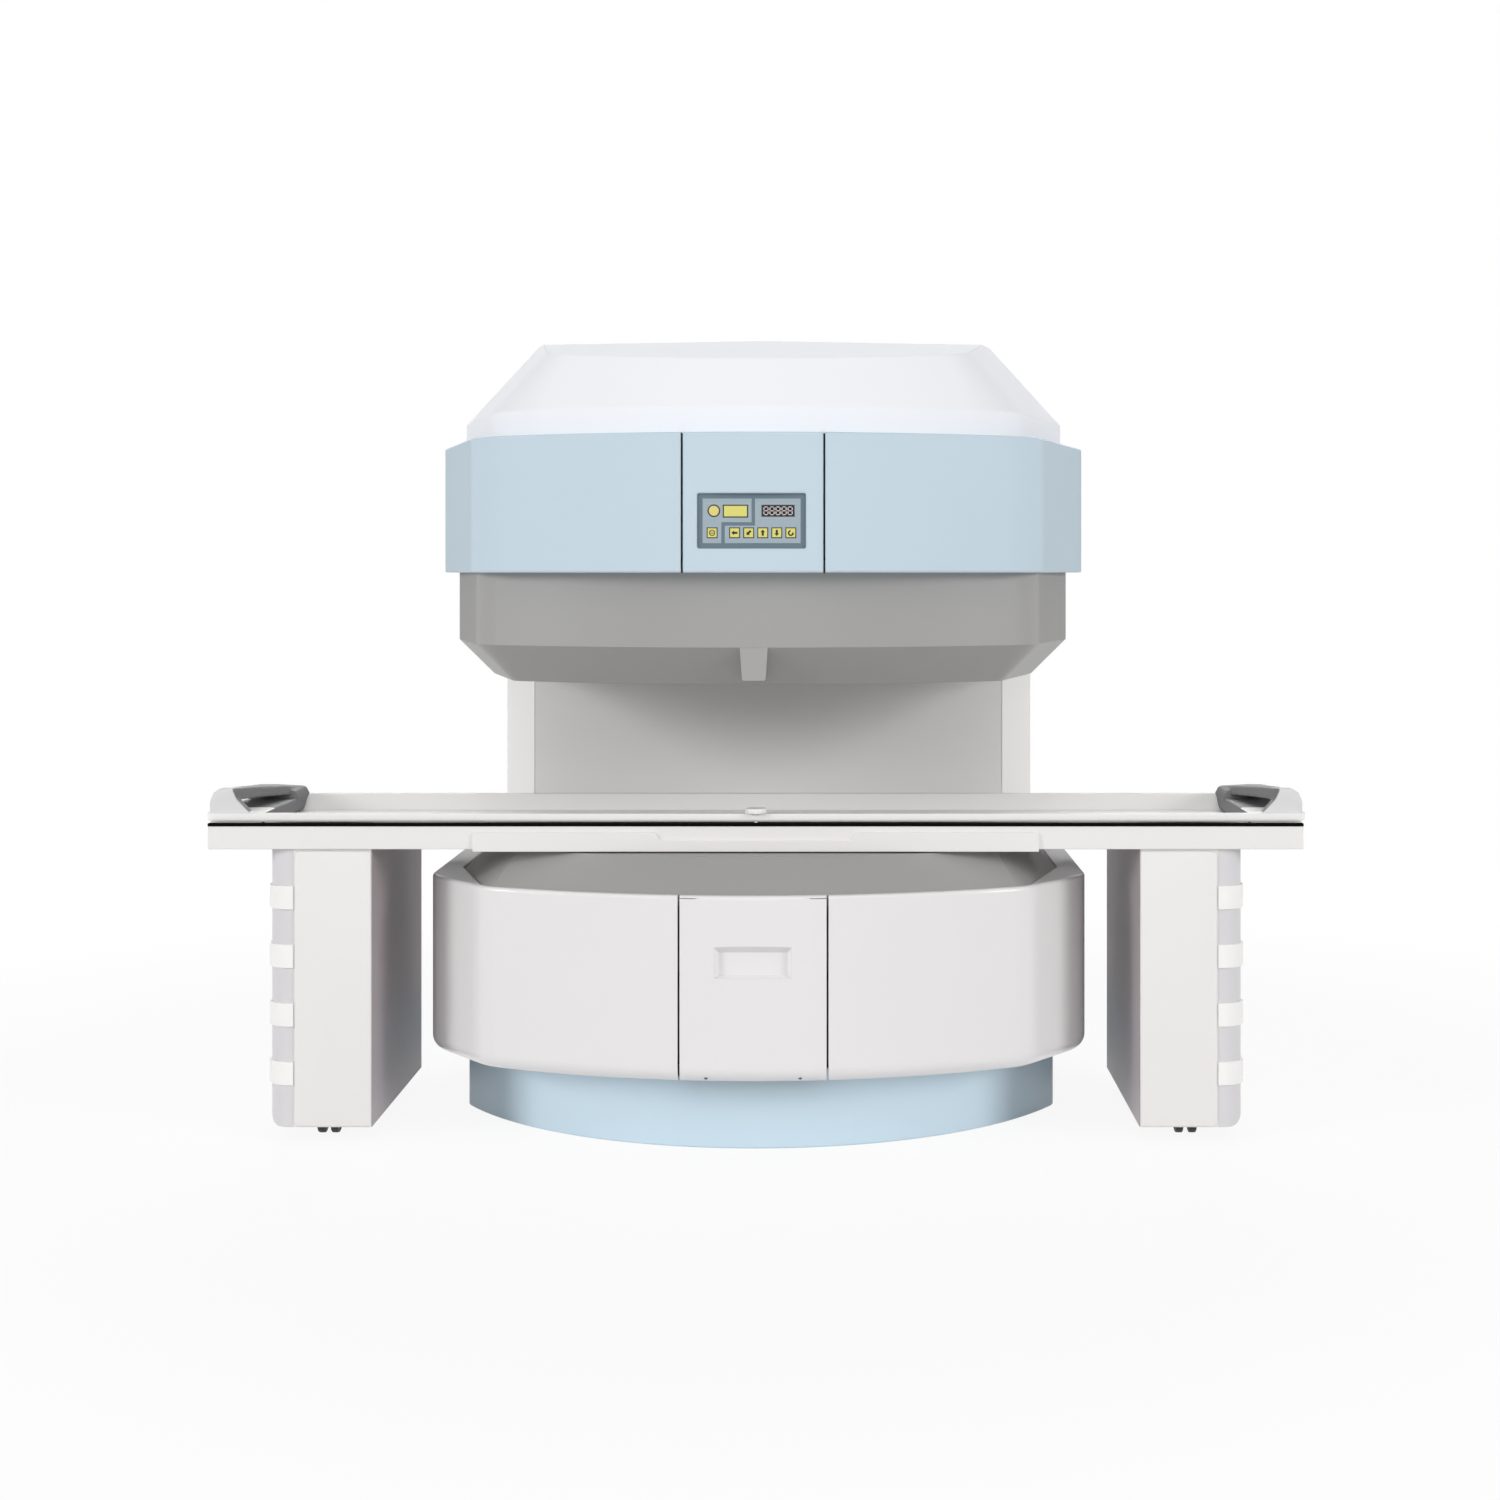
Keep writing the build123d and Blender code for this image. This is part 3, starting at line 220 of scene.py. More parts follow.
def finish_of(name, colour, roughness, tone=0.04, cloud=3.0, grain=600.0, depth=0.00006,
              uneven=0.06, metal=0.0, coat=0.0, coat_roughness=0.08, edge=0.0012, gleam=0.5,
              stretch=(1, 1, 1)):
    """A skin with faint clouds of tone, uneven gloss, a pebbled surface and softened edges.

    Clouds and pebbles come so many to the metre, as cloud and grain say. The tone is how far
    clouds stray from the colour, depth is the pebbles' height and edge the softened radius.
    """
    paint = bpy.data.materials.new(name)
    tree = tree_of(paint)
    place = add_node(tree, "ShaderNodeTexCoord")
    turn = add_node(tree, "ShaderNodeMapping", Scale=stretch)
    clouds = add_node(tree, "ShaderNodeTexNoise", Scale=cloud, Detail=3.0)
    ramp = add_node(tree, "ShaderNodeMix", data_type="RGBA")
    base = linear(colour)[:3]
    ramp.inputs[first_colour].default_value = tuple(c * (1 - tone) for c in base) + (1,)
    ramp.inputs[second_colour].default_value = tuple(min(1, c * (1 + tone)) for c in base) + (1,)
    gloss = add_node(tree, "ShaderNodeMapRange")
    gloss.inputs["To Min"].default_value = roughness - uneven / 2
    gloss.inputs["To Max"].default_value = roughness + uneven / 2
    pebbles = add_node(tree, "ShaderNodeTexNoise", Scale=grain, Detail=2.0)
    soft = add_node(tree, "ShaderNodeBevel", samples=4, Radius=edge)
    bump = add_node(tree, "ShaderNodeBump", Strength=1.0, Distance=depth)
    shader = add_node(tree, "ShaderNodeBsdfPrincipled", Metallic=metal)
    shader.inputs["Specular IOR Level"].default_value = gleam
    shader.inputs["Coat Weight"].default_value = coat
    shader.inputs["Coat Roughness"].default_value = coat_roughness
    output = add_node(tree, "ShaderNodeOutputMaterial")
    tree.links.new(place.outputs["Object"], turn.inputs["Vector"])
    tree.links.new(turn.outputs["Vector"], clouds.inputs["Vector"])
    tree.links.new(turn.outputs["Vector"], pebbles.inputs["Vector"])
    tree.links.new(clouds.outputs["Fac"], ramp.inputs["Factor"])
    tree.links.new(clouds.outputs["Fac"], gloss.inputs["Value"])
    tree.links.new(pebbles.outputs["Fac"], bump.inputs["Height"])
    tree.links.new(soft.outputs["Normal"], bump.inputs["Normal"])
    tree.links.new(ramp.outputs[mixed_colour], shader.inputs["Base Color"])
    tree.links.new(gloss.outputs["Result"], shader.inputs["Roughness"])
    tree.links.new(bump.outputs["Normal"], shader.inputs["Normal"])
    tree.links.new(shader.outputs[0], output.inputs["Surface"])
    return paint


def dress(paint, *names):
    """Gives one finish to every slot of the named solids."""
    for name in names:
        slots = nodes[name].data.materials
        for i in range(len(slots)):
            slots[i] = paint


dress(
    finish_of("painted_steel", (74, 76, 79), 0.5, cloud=6, grain=240, depth=0.00012, metal=0.2),
    "base_plate", "lower_yoke", "upper_yoke", "rear_column", "levelling_feet",
)


# Poles: magnet blocks, dished iron pole pieces and flat gradient coils, one set on each yoke.
# The blocks are plated, the pole pieces soft iron, and the coils are cast in pale resin.
dress(
    finish_of("plated_magnet", (150, 150, 148), 0.35, cloud=9, grain=320, metal=0.85),
    "lower_magnet_block", "upper_magnet_block",
)
dress(
    finish_of("soft_iron", (110, 108, 106), 0.45, cloud=7, grain=260, depth=0.0001, metal=0.8),
    "lower_pole_piece", "upper_pole_piece",
)
dress(
    finish_of("cast_resin", (206, 190, 140), 0.3, tone=0.08, cloud=12, grain=90, depth=0.0002),
    "lower_gradient_coil", "upper_gradient_coil",
)


# Plinth: a blue cover round the feet of the magnet, moulded in glass fibre and sprayed satin.
# The ring round the upper yoke is made the same way, in two sides and a middle fascia.
def axes_of(tree, coordinate):
    """X, Y and Z of a point's place on the object, or of the way that its surface faces."""
    source = add_node(tree, "ShaderNodeTexCoord")
    apart = add_node(tree, "ShaderNodeSeparateXYZ")
    tree.links.new(source.outputs[coordinate], apart.inputs[0])
    return apart.outputs


def tint(paint, colour, share):
    """Lays another colour over a finish where the share is 1."""
    tree = paint.node_tree
    tone = tree.nodes["Principled BSDF"].inputs["Base Color"]
    layer = add_node(tree, "ShaderNodeMix", data_type="RGBA")
    layer.inputs[second_colour].default_value = linear(colour)
    tree.links.new(share, layer.inputs["Factor"])
    tree.links.new(tone.links[0].from_socket, layer.inputs[first_colour])
    tree.links.new(layer.outputs[mixed_colour], tone)


# The joints lie within this reach of the middle, and their walls face sideways at least this much.
seam_reach = 0.16
wall_facing = 0.9
# Near-black painted shade for the joint walls, as if the gaps between the covers lay in deep shade.
seam_shade_tone = (18, 20, 24)


def paint_seam_shade(paint):
    """Paints shade on the joint walls beside the middle panel, which face sideways: painted shade
    for the dark gaps.
    """
    tree = paint.node_tree
    facing = worked_out(tree, "ABSOLUTE", axes_of(tree, "Normal")["X"])
    reach = worked_out(tree, "ABSOLUTE", axes_of(tree, "Object")["X"])
    wall = worked_out(tree, "GREATER_THAN", facing, wall_facing)
    near = worked_out(tree, "LESS_THAN", reach, seam_reach)
    tint(paint, seam_shade_tone, worked_out(tree, "MULTIPLY", wall, near))


dress(
    finish_of("blue_plinth", (203, 223, 235), 0.4, tone=0.02, cloud=2.2, grain=520),
    "plinth_cover",
)
ring_paint = finish_of("blue_ring", (198, 215, 226), 0.42, tone=0.02, cloud=2.2, grain=520,
                       edge=0.007, gleam=0.16)
# Painted shade on the joint walls beside the fascia.
paint_seam_shade(ring_paint)
dress(ring_paint, "ring_cover_left", "ring_cover_right", "control_fascia")


# Base cover: glossy white gel coat over glass fibre, in two halves with a lift-out hatch between.
# Two small screws with hollow heads hold the hatch by its lower edge.
base_paint = finish_of("white_gloss", (231, 229, 229), 0.3, tone=0.015, cloud=1.6, grain=420,
                       depth=0.00004, coat=0.5, coat_roughness=0.1, edge=0.003, gleam=0.35)
# Painted shade on the joint walls beside the hatch.
paint_seam_shade(base_paint)
dress(base_paint, "base_cover_left", "base_cover_right", "hatch")

weld_gap = 1e-6
sharp_angle = math.radians(35)


def put(form, name, paint, body, slot, *stands_for, smooth=True):
    """Makes a finished piece of a form, sets its finish and says what it rides on."""
    bmesh.ops.remove_doubles(form, verts=form.verts, dist=weld_gap)
    bmesh.ops.recalc_face_normals(form, faces=form.faces)
    for face in form.faces:
        face.smooth = smooth
    mesh = bpy.data.meshes.new(name)
    form.to_mesh(mesh)
    form.free()
    if smooth:
        mesh.set_sharp_from_angle(angle=sharp_angle)
    mesh.materials.append(paint)
    piece = bpy.data.objects.new(name, mesh)
    bpy.context.scene.collection.objects.link(piece)
    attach(piece, body)
    if stands_for:
        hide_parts(*stands_for)
    return piece


def turned(form, profile, axis, centre, steps):
    """Spins a profile, given as pairs of height along the axis and radius, all the way round."""
    side = axis.orthogonal().normalized()
    points = [form.verts.new(centre + axis * height + side * radius) for height, radius in profile]
    edges = [form.edges.new(pair) for pair in zip(points, points[1:])]
    bmesh.ops.spin(
        form, geom=points + edges, cent=centre, axis=axis, angle=math.tau, steps=steps,
        use_merge=True, use_duplicate=False,
    )


screw_paint = finish_of("screw_steel", (120, 118, 116), 0.3, grain=900, metal=1.0)
screw_way = Vector((0, -1, -1)).normalized()
screw_half_pitch = 0.1
screw_seat_y = -0.64677
screw_seat_z = 0.18137
screw_steps = 18
screw_profile = [
    (-0.006, 0.0), (-0.006, 0.0022), (-0.0012, 0.0022), (-0.001, 0.0039), (0.0002, 0.0039),
    (0.0008, 0.0034), (0.001, 0.0024), (0.001, 0.0019), (0.0, 0.0016), (0.0, 0.0),
]
form = bmesh.new()
for screw_x in (-screw_half_pitch, screw_half_pitch):
    seat = Vector((screw_x, screw_seat_y, screw_seat_z))
    turned(form, screw_profile, screw_way, seat, screw_steps)
put(form, "screw_heads", screw_paint, "hatch", "screw_steel", "hatch_screws")


# Pole covers: grey mouldings with a satin skin that close over the two poles of the magnet.
# A small housing under the upper one holds the aiming laser behind a dark red glass.
dress(
    finish_of("grey_satin", (158, 157, 156), 0.42, tone=0.025, cloud=2.4, grain=650, depth=0.0001),
    "upper_pole_cover", "lower_pole_cover",
)
dress(finish_of("laser_grey", (160, 159, 158), 0.4, grain=650), "laser_housing")
dress(finish_of("laser_glass", (60, 20, 18), 0.08, grain=300, coat=1.0), "laser_lens")


# Control panel: a slate plate with pale raised fields, a dark digit window, a round lens and six
# yellow keys, all moulded plastic, set in the fascia. Outlines and digits are printed on it, and a
# plain yellow plate is glued beside the lens.
panel_paint = finish_of("panel_slate", (92, 112, 124), 0.38, grain=1200, depth=0.00003)
field_tone = (152, 168, 178)
field_start_y = -0.6503
tree = panel_paint.node_tree
depth_y = axes_of(tree, "Object")["Y"]
tint(panel_paint, field_tone, worked_out(tree, "LESS_THAN", depth_y, field_start_y))
dress(panel_paint, "control_panel")
dress(
    finish_of("window_dark", (44, 38, 43), 0.5, grain=900, depth=0.00001, gleam=0.2),
    "digit_window",
)
dress(finish_of("lens_amber", (214, 200, 104), 0.25, grain=900, coat=0.2), "indicator_lens")
dress(finish_of("housing_grey", (150, 150, 150), 0.5, grain=500), "control_housing")
key_paint = finish_of("key_yellow", (217, 210, 112), 0.42, grain=1400, depth=0.00003)
ink_paint = finish_of("panel_ink", (22, 27, 25), 0.6, tone=0.1, cloud=60, grain=1600)
line_paint = finish_of("panel_line", (186, 200, 208), 0.5, tone=0.06, cloud=60, grain=1600)


def thicken(form, faces, depth):
    """Grows flat faces into a solid by a depth along Y."""
    grown = bmesh.ops.extrude_face_region(form, geom=faces)
    moved = [v for v in grown["geom"] if isinstance(v, bmesh.types.BMVert)]
    bmesh.ops.translate(form, verts=moved, vec=(0, depth, 0))


def flat_shape(form, corners, front, thickness):
    """A shape of even thickness that faces forward, from its corners as seen from the front."""
    points = [form.verts.new((x, front + thickness, z)) for x, z in corners]
    thicken(form, [form.faces.new(points)], -thickness)


def oblong(centre, half_size):
    """The corners of an upright rectangle, from its middle and half its width and height."""
    (x, z), (w, h) = centre, half_size
    return [(x - w, z - h), (x + w, z - h), (x + w, z + h), (x - w, z + h)]


print_thickness = 0.00015


def printed_frame(form, centre, half_size, line, ground):
    """A thin rectangular outline printed on the ground that lies at this depth."""
    outer = oblong(centre, half_size)
    inner = oblong(centre, [half - line for half in half_size])
    for i in range(4):
        j = (i + 1) % 4
        corners = [outer[i], outer[j], inner[j], inner[i]]
        flat_shape(form, corners, ground - print_thickness, print_thickness)


def through_edges(form):
    """The edges that run through the thickness of flat shapes."""
    return [e for e in form.edges if abs(e.verts[0].co.y - e.verts[1].co.y) > weld_gap]


def round_edges(form, edges, radius, segments):
    """Rounds edges of a form to a radius."""
    bmesh.ops.bevel(form, geom=edges, offset=radius, segments=segments, profile=0.5, material=-1,
                    affect="EDGES")


field_front = -0.6506
upper_row_z = 1.3855
lower_row_z = 1.3388
window_centre = (0.053, upper_row_z)
window_half = (0.0352, 0.0127)
window_line = 0.0009
key_half = 0.0115
key_line = 0.0019
key_places = {
    "key_light": -0.0867, "key_left": -0.0391, "key_select": -0.0092,
    "key_up": 0.0206, "key_down": 0.0503, "key_reset": 0.0801,
}
form = bmesh.new()
for key_x in key_places.values():
    printed_frame(form, (key_x, lower_row_z), (key_half, key_half), key_line, field_front)
printed_frame(form, window_centre, window_half, window_line, field_front)
put(form, "key_borders", ink_paint, "magnet", "panel_slate", smooth=False)

field_line = 0.0006
window_field_half = (0.045, 0.0166)
plate_field_centre = (-0.0545, upper_row_z)
plate_field_half = (0.0475, 0.0166)
form = bmesh.new()
printed_frame(form, window_centre, window_field_half, field_line, field_front)
printed_frame(form, plate_field_centre, plate_field_half, field_line, field_front)
put(form, "field_lines", line_paint, "magnet", "panel_slate", smooth=False)

plate_centre = (-0.0373, 1.3848)
plate_half = (0.0268, 0.0136)
plate_front = -0.6511
plate_thickness = 0.0005
plate_corner = 0.0015
plate_line = 0.0024
form = bmesh.new()
flat_shape(form, oblong(plate_centre, plate_half), plate_front, plate_thickness)
round_edges(form, through_edges(form), plate_corner, 3)
put(form, "blank_plate", key_paint, "magnet", "key_yellow", smooth=False)
form = bmesh.new()
printed_frame(form, plate_centre, plate_half, plate_line, plate_front)
put(form, "plate_border", ink_paint, "magnet", "panel_slate", smooth=False)

forward = Vector((0, -1, 0))
lens_x = -0.083
lens_rim_steps = 40
lens_rim_profile = [
    (0.0, 0.0112), (0.0004, 0.0112), (0.0007, 0.0120), (0.0007, 0.0128), (0.0004, 0.0134),
    (0.0, 0.0134),
]
form = bmesh.new()
turned(form, lens_rim_profile, forward, Vector((lens_x, field_front, upper_row_z)), lens_rim_steps)
put(form, "lens_rim", ink_paint, "magnet", "panel_slate")

digit_paint = finish_of("digit_bars", (252, 240, 240), 0.5, tone=0.05, cloud=40, grain=900)
digit_count = 5
digit_pitch = 0.0128
digit_half_width = 0.0044
digit_half_height = 0.0082
digit_front = -0.65045
digit_thickness = 0.00025
bar_half = 0.0008


def digit_bar(form, start, end, across, upright):
    """One bar of a digit with pointed tips, along a run and at a place across it."""
    low_tip, high_tip = start + bar_half, end - bar_half
    low_shoulder, high_shoulder = low_tip + bar_half, high_tip - bar_half
    outline = [(low_tip, 0), (low_shoulder, -bar_half), (high_shoulder, -bar_half),
               (high_tip, 0), (high_shoulder, bar_half), (low_shoulder, bar_half)]
    if upright:
        corners = [(across - aside, along) for along, aside in outline]
    else:
        corners = [(along, across + aside) for along, aside in outline]
    flat_shape(form, corners, digit_front, digit_thickness)


window_x, digit_middle = window_centre
digit_foot, digit_head = digit_middle - digit_half_height, digit_middle + digit_half_height
form = bmesh.new()
for i in range(digit_count):
    digit_x = window_x + (i - (digit_count - 1) / 2) * digit_pitch
    left, right = digit_x - digit_half_width, digit_x + digit_half_width
    for z in (digit_foot, digit_middle, digit_head):
        digit_bar(form, left, right, z, upright=False)
    for x in (left, right):
        digit_bar(form, digit_foot, digit_middle, x, upright=True)
        digit_bar(form, digit_middle, digit_head, x, upright=True)
put(form, "digits", digit_paint, "magnet", "window_dark", smooth=False)


# Key signs: a lamp ring, three straight arrows, a slanting arrow and a turning arrow.
# Each is printed in dark ink on its yellow key and goes in with it.
arrow = [(-0.0068, 0), (-0.0012, 0.0050), (-0.0012, 0.0023), (0.0062, 0.0023),
         (0.0062, -0.0023), (-0.0012, -0.0023), (-0.0012, -0.0050)]
arrow_turns = {"key_left": 0, "key_select": 45, "key_up": -90, "key_down": 90}
lamp_radius = 0.0066
lamp_line = 0.0017
lamp_bar_half = (0.0042, 0.0005)
lamp_bar_offset = 0.0016
return_radius = 0.0064
return_line = 0.0032
return_drop = 0.0005
return_sweep = math.radians(265)
return_head = [(0.0016, -0.0032), (0.0072, -0.0032), (0.0044, 0.0022)]
ring_steps = 24
sign_front = -0.652
sign_depth = 0.0002


def ring_sign(form, centre, radius, line, sweep):
    """Part or all of a flat ring on a key."""
    x, z = centre
    inner = form.verts.new((x + radius - line, sign_front, z))
    outer = form.verts.new((x + radius, sign_front, z))
    edge = form.edges.new((inner, outer))
    bmesh.ops.spin(form, geom=[inner, outer, edge], cent=(x, sign_front, z), axis=(0, 1, 0),
                   angle=sweep, steps=ring_steps, use_merge=sweep == math.tau, use_duplicate=False)
    thicken(form, list(form.faces), sign_depth)


dress(key_paint, *key_places)
for key, key_x in key_places.items():
    form = bmesh.new()
    if key in arrow_turns:
        angle = math.radians(arrow_turns[key])
        corners = [(key_x + x * math.cos(angle) - z * math.sin(angle),
                    lower_row_z + x * math.sin(angle) + z * math.cos(angle)) for x, z in arrow]
        flat_shape(form, corners, sign_front, sign_depth)
    elif key == "key_light":
        ring_sign(form, (key_x, lower_row_z), lamp_radius, lamp_line, math.tau)
        for bar_z in (lower_row_z - lamp_bar_offset, lower_row_z + lamp_bar_offset):
            flat_shape(form, oblong((key_x, bar_z), lamp_bar_half), sign_front, sign_depth)
    else:
        ring_sign(form, (key_x, lower_row_z - return_drop), return_radius, return_line, return_sweep)
        corners = [(key_x + x, lower_row_z + z) for x, z in return_head]
        flat_shape(form, corners, sign_front, sign_depth)
    put(form, f"{key}_sign", ink_paint, key, "panel_slate", smooth=False)


# Top cover: a white shell with sloping facets, moulded in glass fibre and sprayed matt.
# It closes the head above the ring.
dress(
    finish_of("white_top", (245, 246, 250), 0.75, tone=0.012, cloud=1.8, grain=420, depth=0.00005,
              edge=0.006, gleam=0.08),
    "top_cover",
)


# Column covers: flat sheets sprayed off-white, one on each face of the steel column.
# They are screwed to it out of sight.
dress(
    finish_of("column_white", (245, 243, 242), 0.45, tone=0.015, cloud=2.0, grain=700,
              depth=0.00008),
    "column_front_cover", "column_side_cover_left", "column_side_cover_right", "column_rear_cover",
)


# Table frame: folded steel rails, cross members and legs in white powder coat, with aluminium
# guides and plastic glides for the board. Each leg has a flat panel on its front and moulded
# bands round its outer side. A thin black strip along the front rail is a painted shadow:
# it stands in for the shade in the gap under the board's lip.
table_white = (232, 230, 228)
table_paint = finish_of("white_powder", table_white, 0.42, tone=0.012, cloud=2.6, grain=900,
                        depth=0.00009)
dress(table_paint, "front_rail", "rear_rail", "cross_members", "apron", "leg_base_plates")

leg_shaded_paint = finish_of("leg_powder_painted_shade", table_white, 0.42, tone=0.012, cloud=2.6, grain=900,
                      depth=0.00009)
# Each leg has painted shade and a painted dark reflection on its inner face, and a little painted
# shade on its outer column, where it curves away from the light.
inner_face_x = 0.8445
inner_face_shade_tone = (158, 149, 152)
outer_column_x = 1.0145
outer_column_shade_tone = (213, 211, 213)
tree = leg_shaded_paint.node_tree
reach = worked_out(tree, "ABSOLUTE", axes_of(tree, "Object")["X"])
tint(leg_shaded_paint, inner_face_shade_tone, worked_out(tree, "LESS_THAN", reach, inner_face_x))
tint(leg_shaded_paint, outer_column_shade_tone, worked_out(tree, "GREATER_THAN", reach, outer_column_x))
dress(leg_shaded_paint, "leg_left", "leg_right")

panel_low = 0.0395
panel_high = 0.6425
panel_outer_x = 1.012
panel_inner_x = 0.8455
panel_middle_x = (panel_outer_x + panel_inner_x) / 2
panel_front = -0.4865
panel_thickness = 0.004
panel_corner = 0.012
panel_edge = 0.0016
for side, name in ((-1, "leg_panel_left"), (1, "leg_panel_right")):
    form = bmesh.new()
    corners = [(side * panel_outer_x, panel_low), (side * panel_inner_x, panel_low),
               (side * panel_inner_x, panel_high), (side * panel_outer_x, panel_high)]
    flat_shape(form, corners, panel_front, panel_thickness)
    outer = [e for e in through_edges(form) if abs(e.verts[0].co.x) > panel_middle_x]
    round_edges(form, outer, panel_corner, 5)
    mid_depth = panel_front + panel_thickness / 2
    rim = [e for e in form.edges if all(v.co.y < mid_depth for v in e.verts)]
    round_edges(form, rim, panel_edge, 3)
    put(form, name, table_paint, "table", "leg_white")

# A near-black strip on the front rail's edge: a painted shadow for the dark gap under the board's
# lip.
strip_size = (2.4008, 0.0135, 0.0068)
strip_centre = Vector((0, -0.48775, 0.7019))
strip_edge = 0.0014
form = bmesh.new()
bmesh.ops.create_cube(form, size=1)
bmesh.ops.scale(form, vec=strip_size, verts=form.verts)
bmesh.ops.translate(form, vec=strip_centre, verts=form.verts)
top_edges = [e for e in form.edges if all(v.co.z > strip_centre.z for v in e.verts)]
round_edges(form, top_edges, strip_edge, 3)
gap_shadow_paint = finish_of("gap_shadow_black", (9, 8, 8), 0.9, grain=900, depth=0.0001, gleam=0.05)
put(form, "gap_shadow_strip", gap_shadow_paint, "table", "caster_black")
dress(
    finish_of("guide_aluminium", (196, 198, 200), 0.28, cloud=8, grain=300, metal=1.0,
              stretch=(0.04, 1, 1)),
    "guide_rails",
)
dress(finish_of("glide_plastic", (225, 224, 218), 0.5, grain=500), "board_glides")
dress(
    finish_of("band_white", (242, 241, 240), 0.5, tone=0.02, cloud=9, grain=1500, depth=0.0001),
    "leg_bands",
)


# Sliding board: a long trough with a flat rim, moulded in glass fibre with a white gel coat.
# It slides along the frame's guides on its plastic glides.
dress(
    finish_of("board_white", (245, 243, 241), 0.34, tone=0.012, cloud=2.2, grain=600, depth=0.00005,
              coat=0.2),
    "board",
)


# End handles: soft moulded hoops in grey, one over each end of the board, on a low block.
# The grey is painted pale as painted light where it faces outward at the front, and kept dark
# as painted shade on the grip's inner side, and the hand hole shows the white board.
handle_paint = finish_of("handle_grey", (112, 112, 113), 0.55, tone=0.06, cloud=10, grain=1100,
                         depth=0.0002, gleam=0.35)
# Painted light and shade: outward faces at the front take this pale tone as if lit, and the rest
# keeps the dark grey as shade.
lit_front_tone = (216, 216, 217)
dark_side, pale_side = -0.8, -0.25
dark_from_y, pale_to_y = -0.385, -0.452
hole_floor_tone = (243, 242, 240)
hole_floor_z = 0.7268
hole_floor_y = -0.352
floor_facing = 0.6
tree = handle_paint.node_tree
spot = axes_of(tree, "Object")
facing = axes_of(tree, "Normal")
outward = worked_out(tree, "MULTIPLY", worked_out(tree, "SIGN", spot["X"]), facing["X"])
side_share = eased(tree, outward, dark_side, pale_side)
front_share = eased(tree, spot["Y"], dark_from_y, pale_to_y)
tint(handle_paint, lit_front_tone, worked_out(tree, "MULTIPLY", side_share, front_share))
low_down = worked_out(tree, "LESS_THAN", spot["Z"], hole_floor_z)
ahead = worked_out(tree, "LESS_THAN", spot["Y"], hole_floor_y)
level = worked_out(tree, "GREATER_THAN", facing["Z"], floor_facing)
low_ahead = worked_out(tree, "MULTIPLY", low_down, ahead)
tint(handle_paint, hole_floor_tone, worked_out(tree, "MULTIPLY", low_ahead, level))


def bridged(form, sections):
    """Joins outlines that stand one behind another, given with their depths, and closes the ends."""
    rows = [[form.verts.new((x, y, z)) for x, z in outline] for y, outline in sections]
    rims = [[form.edges.new(pair) for pair in zip(row, row[1:] + row[:1])] for row in rows]
    for near, far in zip(rims, rims[1:]):
        bmesh.ops.bridge_loops(form, edges=near + far)
    form.faces.new(rows[0])
    form.faces.new(rows[-1])


# Outlines of the left handle, as pairs of X and height. The right one is its mirror image.
front_foot = [(-1.204, 0.7235), (-1.205, 0.748), (-1.197, 0.768), (-1.180, 0.779),
              (-1.153, 0.780), (-1.143, 0.756), (-1.113, 0.7235)]
front_foot_y = -0.467
front_foot_depth = 0.027
rear_foot = [(-1.200, 0.7235), (-1.200, 0.738), (-1.170, 0.747), (-1.094, 0.743),
             (-1.084, 0.7235)]
rear_foot_y = -0.150
rear_foot_depth = 0.120
base_block = [(-1.203, 0.691), (-1.203, 0.725), (-1.087, 0.725), (-1.087, 0.691)]
base_block_y = -0.465
base_block_depth = 0.435
bar_sections = [
    (-0.462, [(-1.198, 0.753), (-1.198, 0.768), (-1.182, 0.779), (-1.153, 0.780), (-1.143, 0.753)]),
    (-0.300, [(-1.194, 0.743), (-1.194, 0.757), (-1.176, 0.768), (-1.131, 0.768), (-1.122, 0.743)]),
    (-0.160, [(-1.194, 0.733), (-1.194, 0.749), (-1.172, 0.759), (-1.110, 0.756), (-1.101, 0.733)]),
    (-0.032, [(-1.200, 0.724), (-1.200, 0.738), (-1.170, 0.747), (-1.095, 0.743), (-1.086, 0.724)]),
]
skin_voxel = 0.003
relax_share = 0.5
relax_rounds = 14
for mirror, name in ((1, "left"), (-1, "right")):
    form = bmesh.new()
    flat_shape(form, front_foot, front_foot_y, front_foot_depth)
    flat_shape(form, rear_foot, rear_foot_y, rear_foot_depth)
    flat_shape(form, base_block, base_block_y, base_block_depth)
    bridged(form, bar_sections)
    bmesh.ops.scale(form, vec=(mirror, 1, 1), verts=form.verts)
    loop = put(form, f"grip_loop_{name}", handle_paint, "board", "handle_grey", f"end_handle_{name}")
    skin = loop.modifiers.new("skin", "REMESH")
    skin.mode = "VOXEL"
    skin.voxel_size = skin_voxel
    skin.use_smooth_shade = True
    relax = loop.modifiers.new("relax", "SMOOTH")
    relax.factor = relax_share
    relax.iterations = relax_rounds


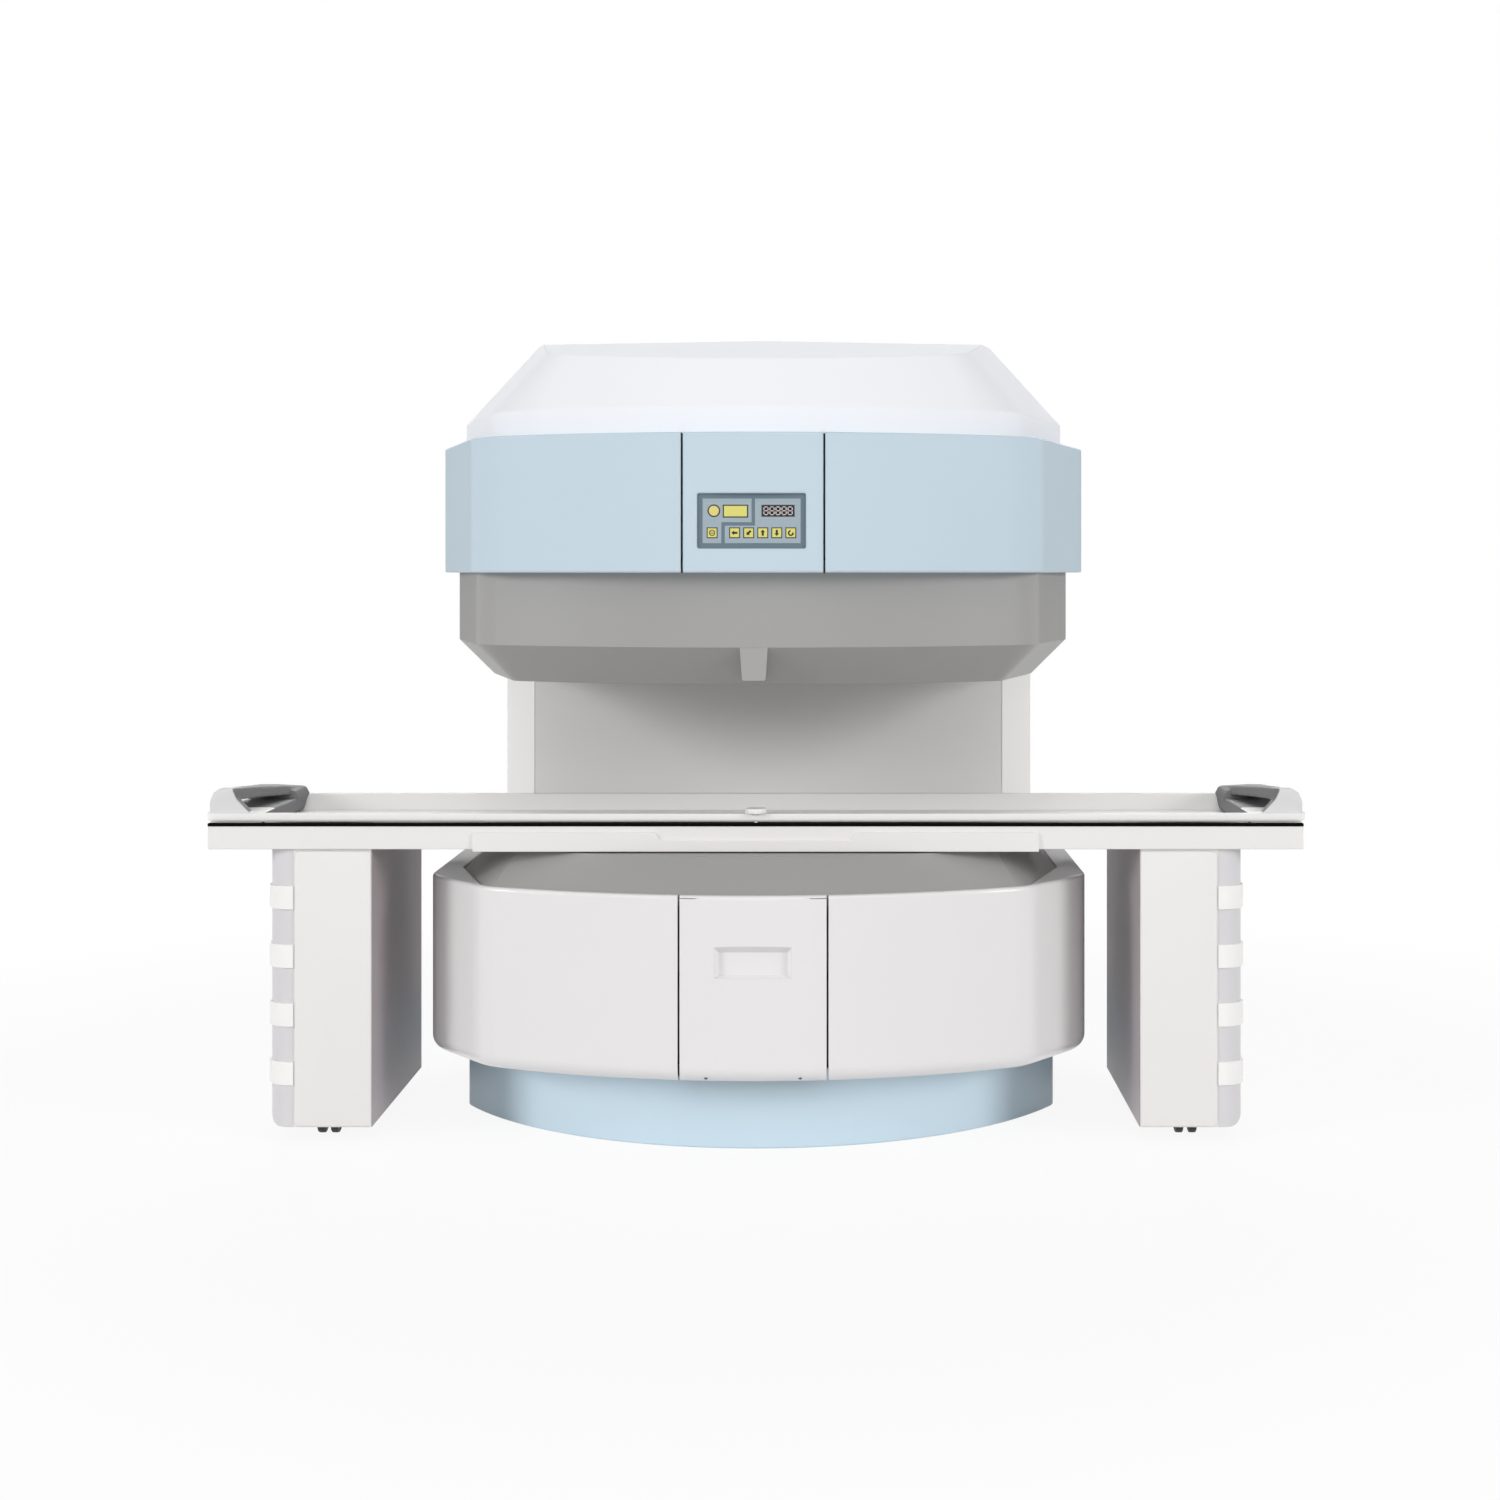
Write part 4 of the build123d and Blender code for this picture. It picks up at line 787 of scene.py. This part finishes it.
# Lock knob: a white moulded knob with a scalloped rim, at the middle of the board's front edge.
# Its stem presses on the front rail and keeps the board from sliding.
knob_paint = finish_of("knob_white", (236, 234, 232), 0.35, grain=800)
knob_centre = Vector((0, -0.467, 0))
knob_steps = 72
knob_profile = [
    (0.7015, 0.0), (0.7015, 0.0038), (0.7242, 0.0038), (0.7243, 0.0222), (0.7252, 0.0236),
    (0.7290, 0.0238), (0.7335, 0.0236), (0.7352, 0.0226), (0.7360, 0.0205), (0.7362, 0.0150),
    (0.7355, 0.0130), (0.7355, 0.0),
]
scallop_count = 9
scallop_share = 0.05
scallop_inner_radius = 0.021
scallop_sharpness = 4
form = bmesh.new()
turned(form, knob_profile, Vector((0, 0, 1)), knob_centre, knob_steps)
for point in form.verts:
    away = Vector((point.co.x, point.co.y - knob_centre.y, 0))
    if away.length > scallop_inner_radius:
        turn = math.atan2(away.y, away.x)
        hollow = max(0, math.cos(scallop_count * turn)) ** scallop_sharpness
        point.co -= away * (scallop_share * hollow)
put(form, "scalloped_knob", knob_paint, "lock_knob", "knob_white", "lock_knob")


# Casters: black rubber twin wheels under the ends of each leg, turning on one axle.
# They run in swivelling nylon bodies that plug into the leg's base plate.
caster_places = ["front_left", "front_right", "rear_left", "rear_right"]
dress(
    finish_of("caster_nylon", (38, 36, 42), 0.4, grain=900, depth=0.0001),
    *[f"caster_fork_{place}" for place in caster_places],
)
wheel_paint = finish_of("wheel_rubber", (34, 32, 37), 0.55, grain=700, depth=0.00015)
wheel_steps = 40
half_wheel = [
    (0.0065, 0.004), (0.0065, 0.0262), (0.0072, 0.0285), (0.0090, 0.0298), (0.0150, 0.0300),
    (0.0205, 0.0297), (0.0226, 0.0284), (0.0234, 0.0262), (0.0234, 0.0228), (0.0222, 0.0218),
    (0.0218, 0.0120), (0.0232, 0.0104), (0.0235, 0.0070), (0.0235, 0.0),
]
wheel_profile = [(-x, radius) for x, radius in reversed(half_wheel)] + half_wheel
for place in caster_places:
    low_corner, high_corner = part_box(f"caster_wheels_{place}")
    centre = (Vector(low_corner) + Vector(high_corner)) / 2
    form = bmesh.new()
    turned(form, wheel_profile, Vector((1, 0, 0)), centre, wheel_steps)
    put(form, f"twin_wheels_{place}", wheel_paint, f"caster_wheels_{place}", "wheel_black",
        f"caster_wheels_{place}")
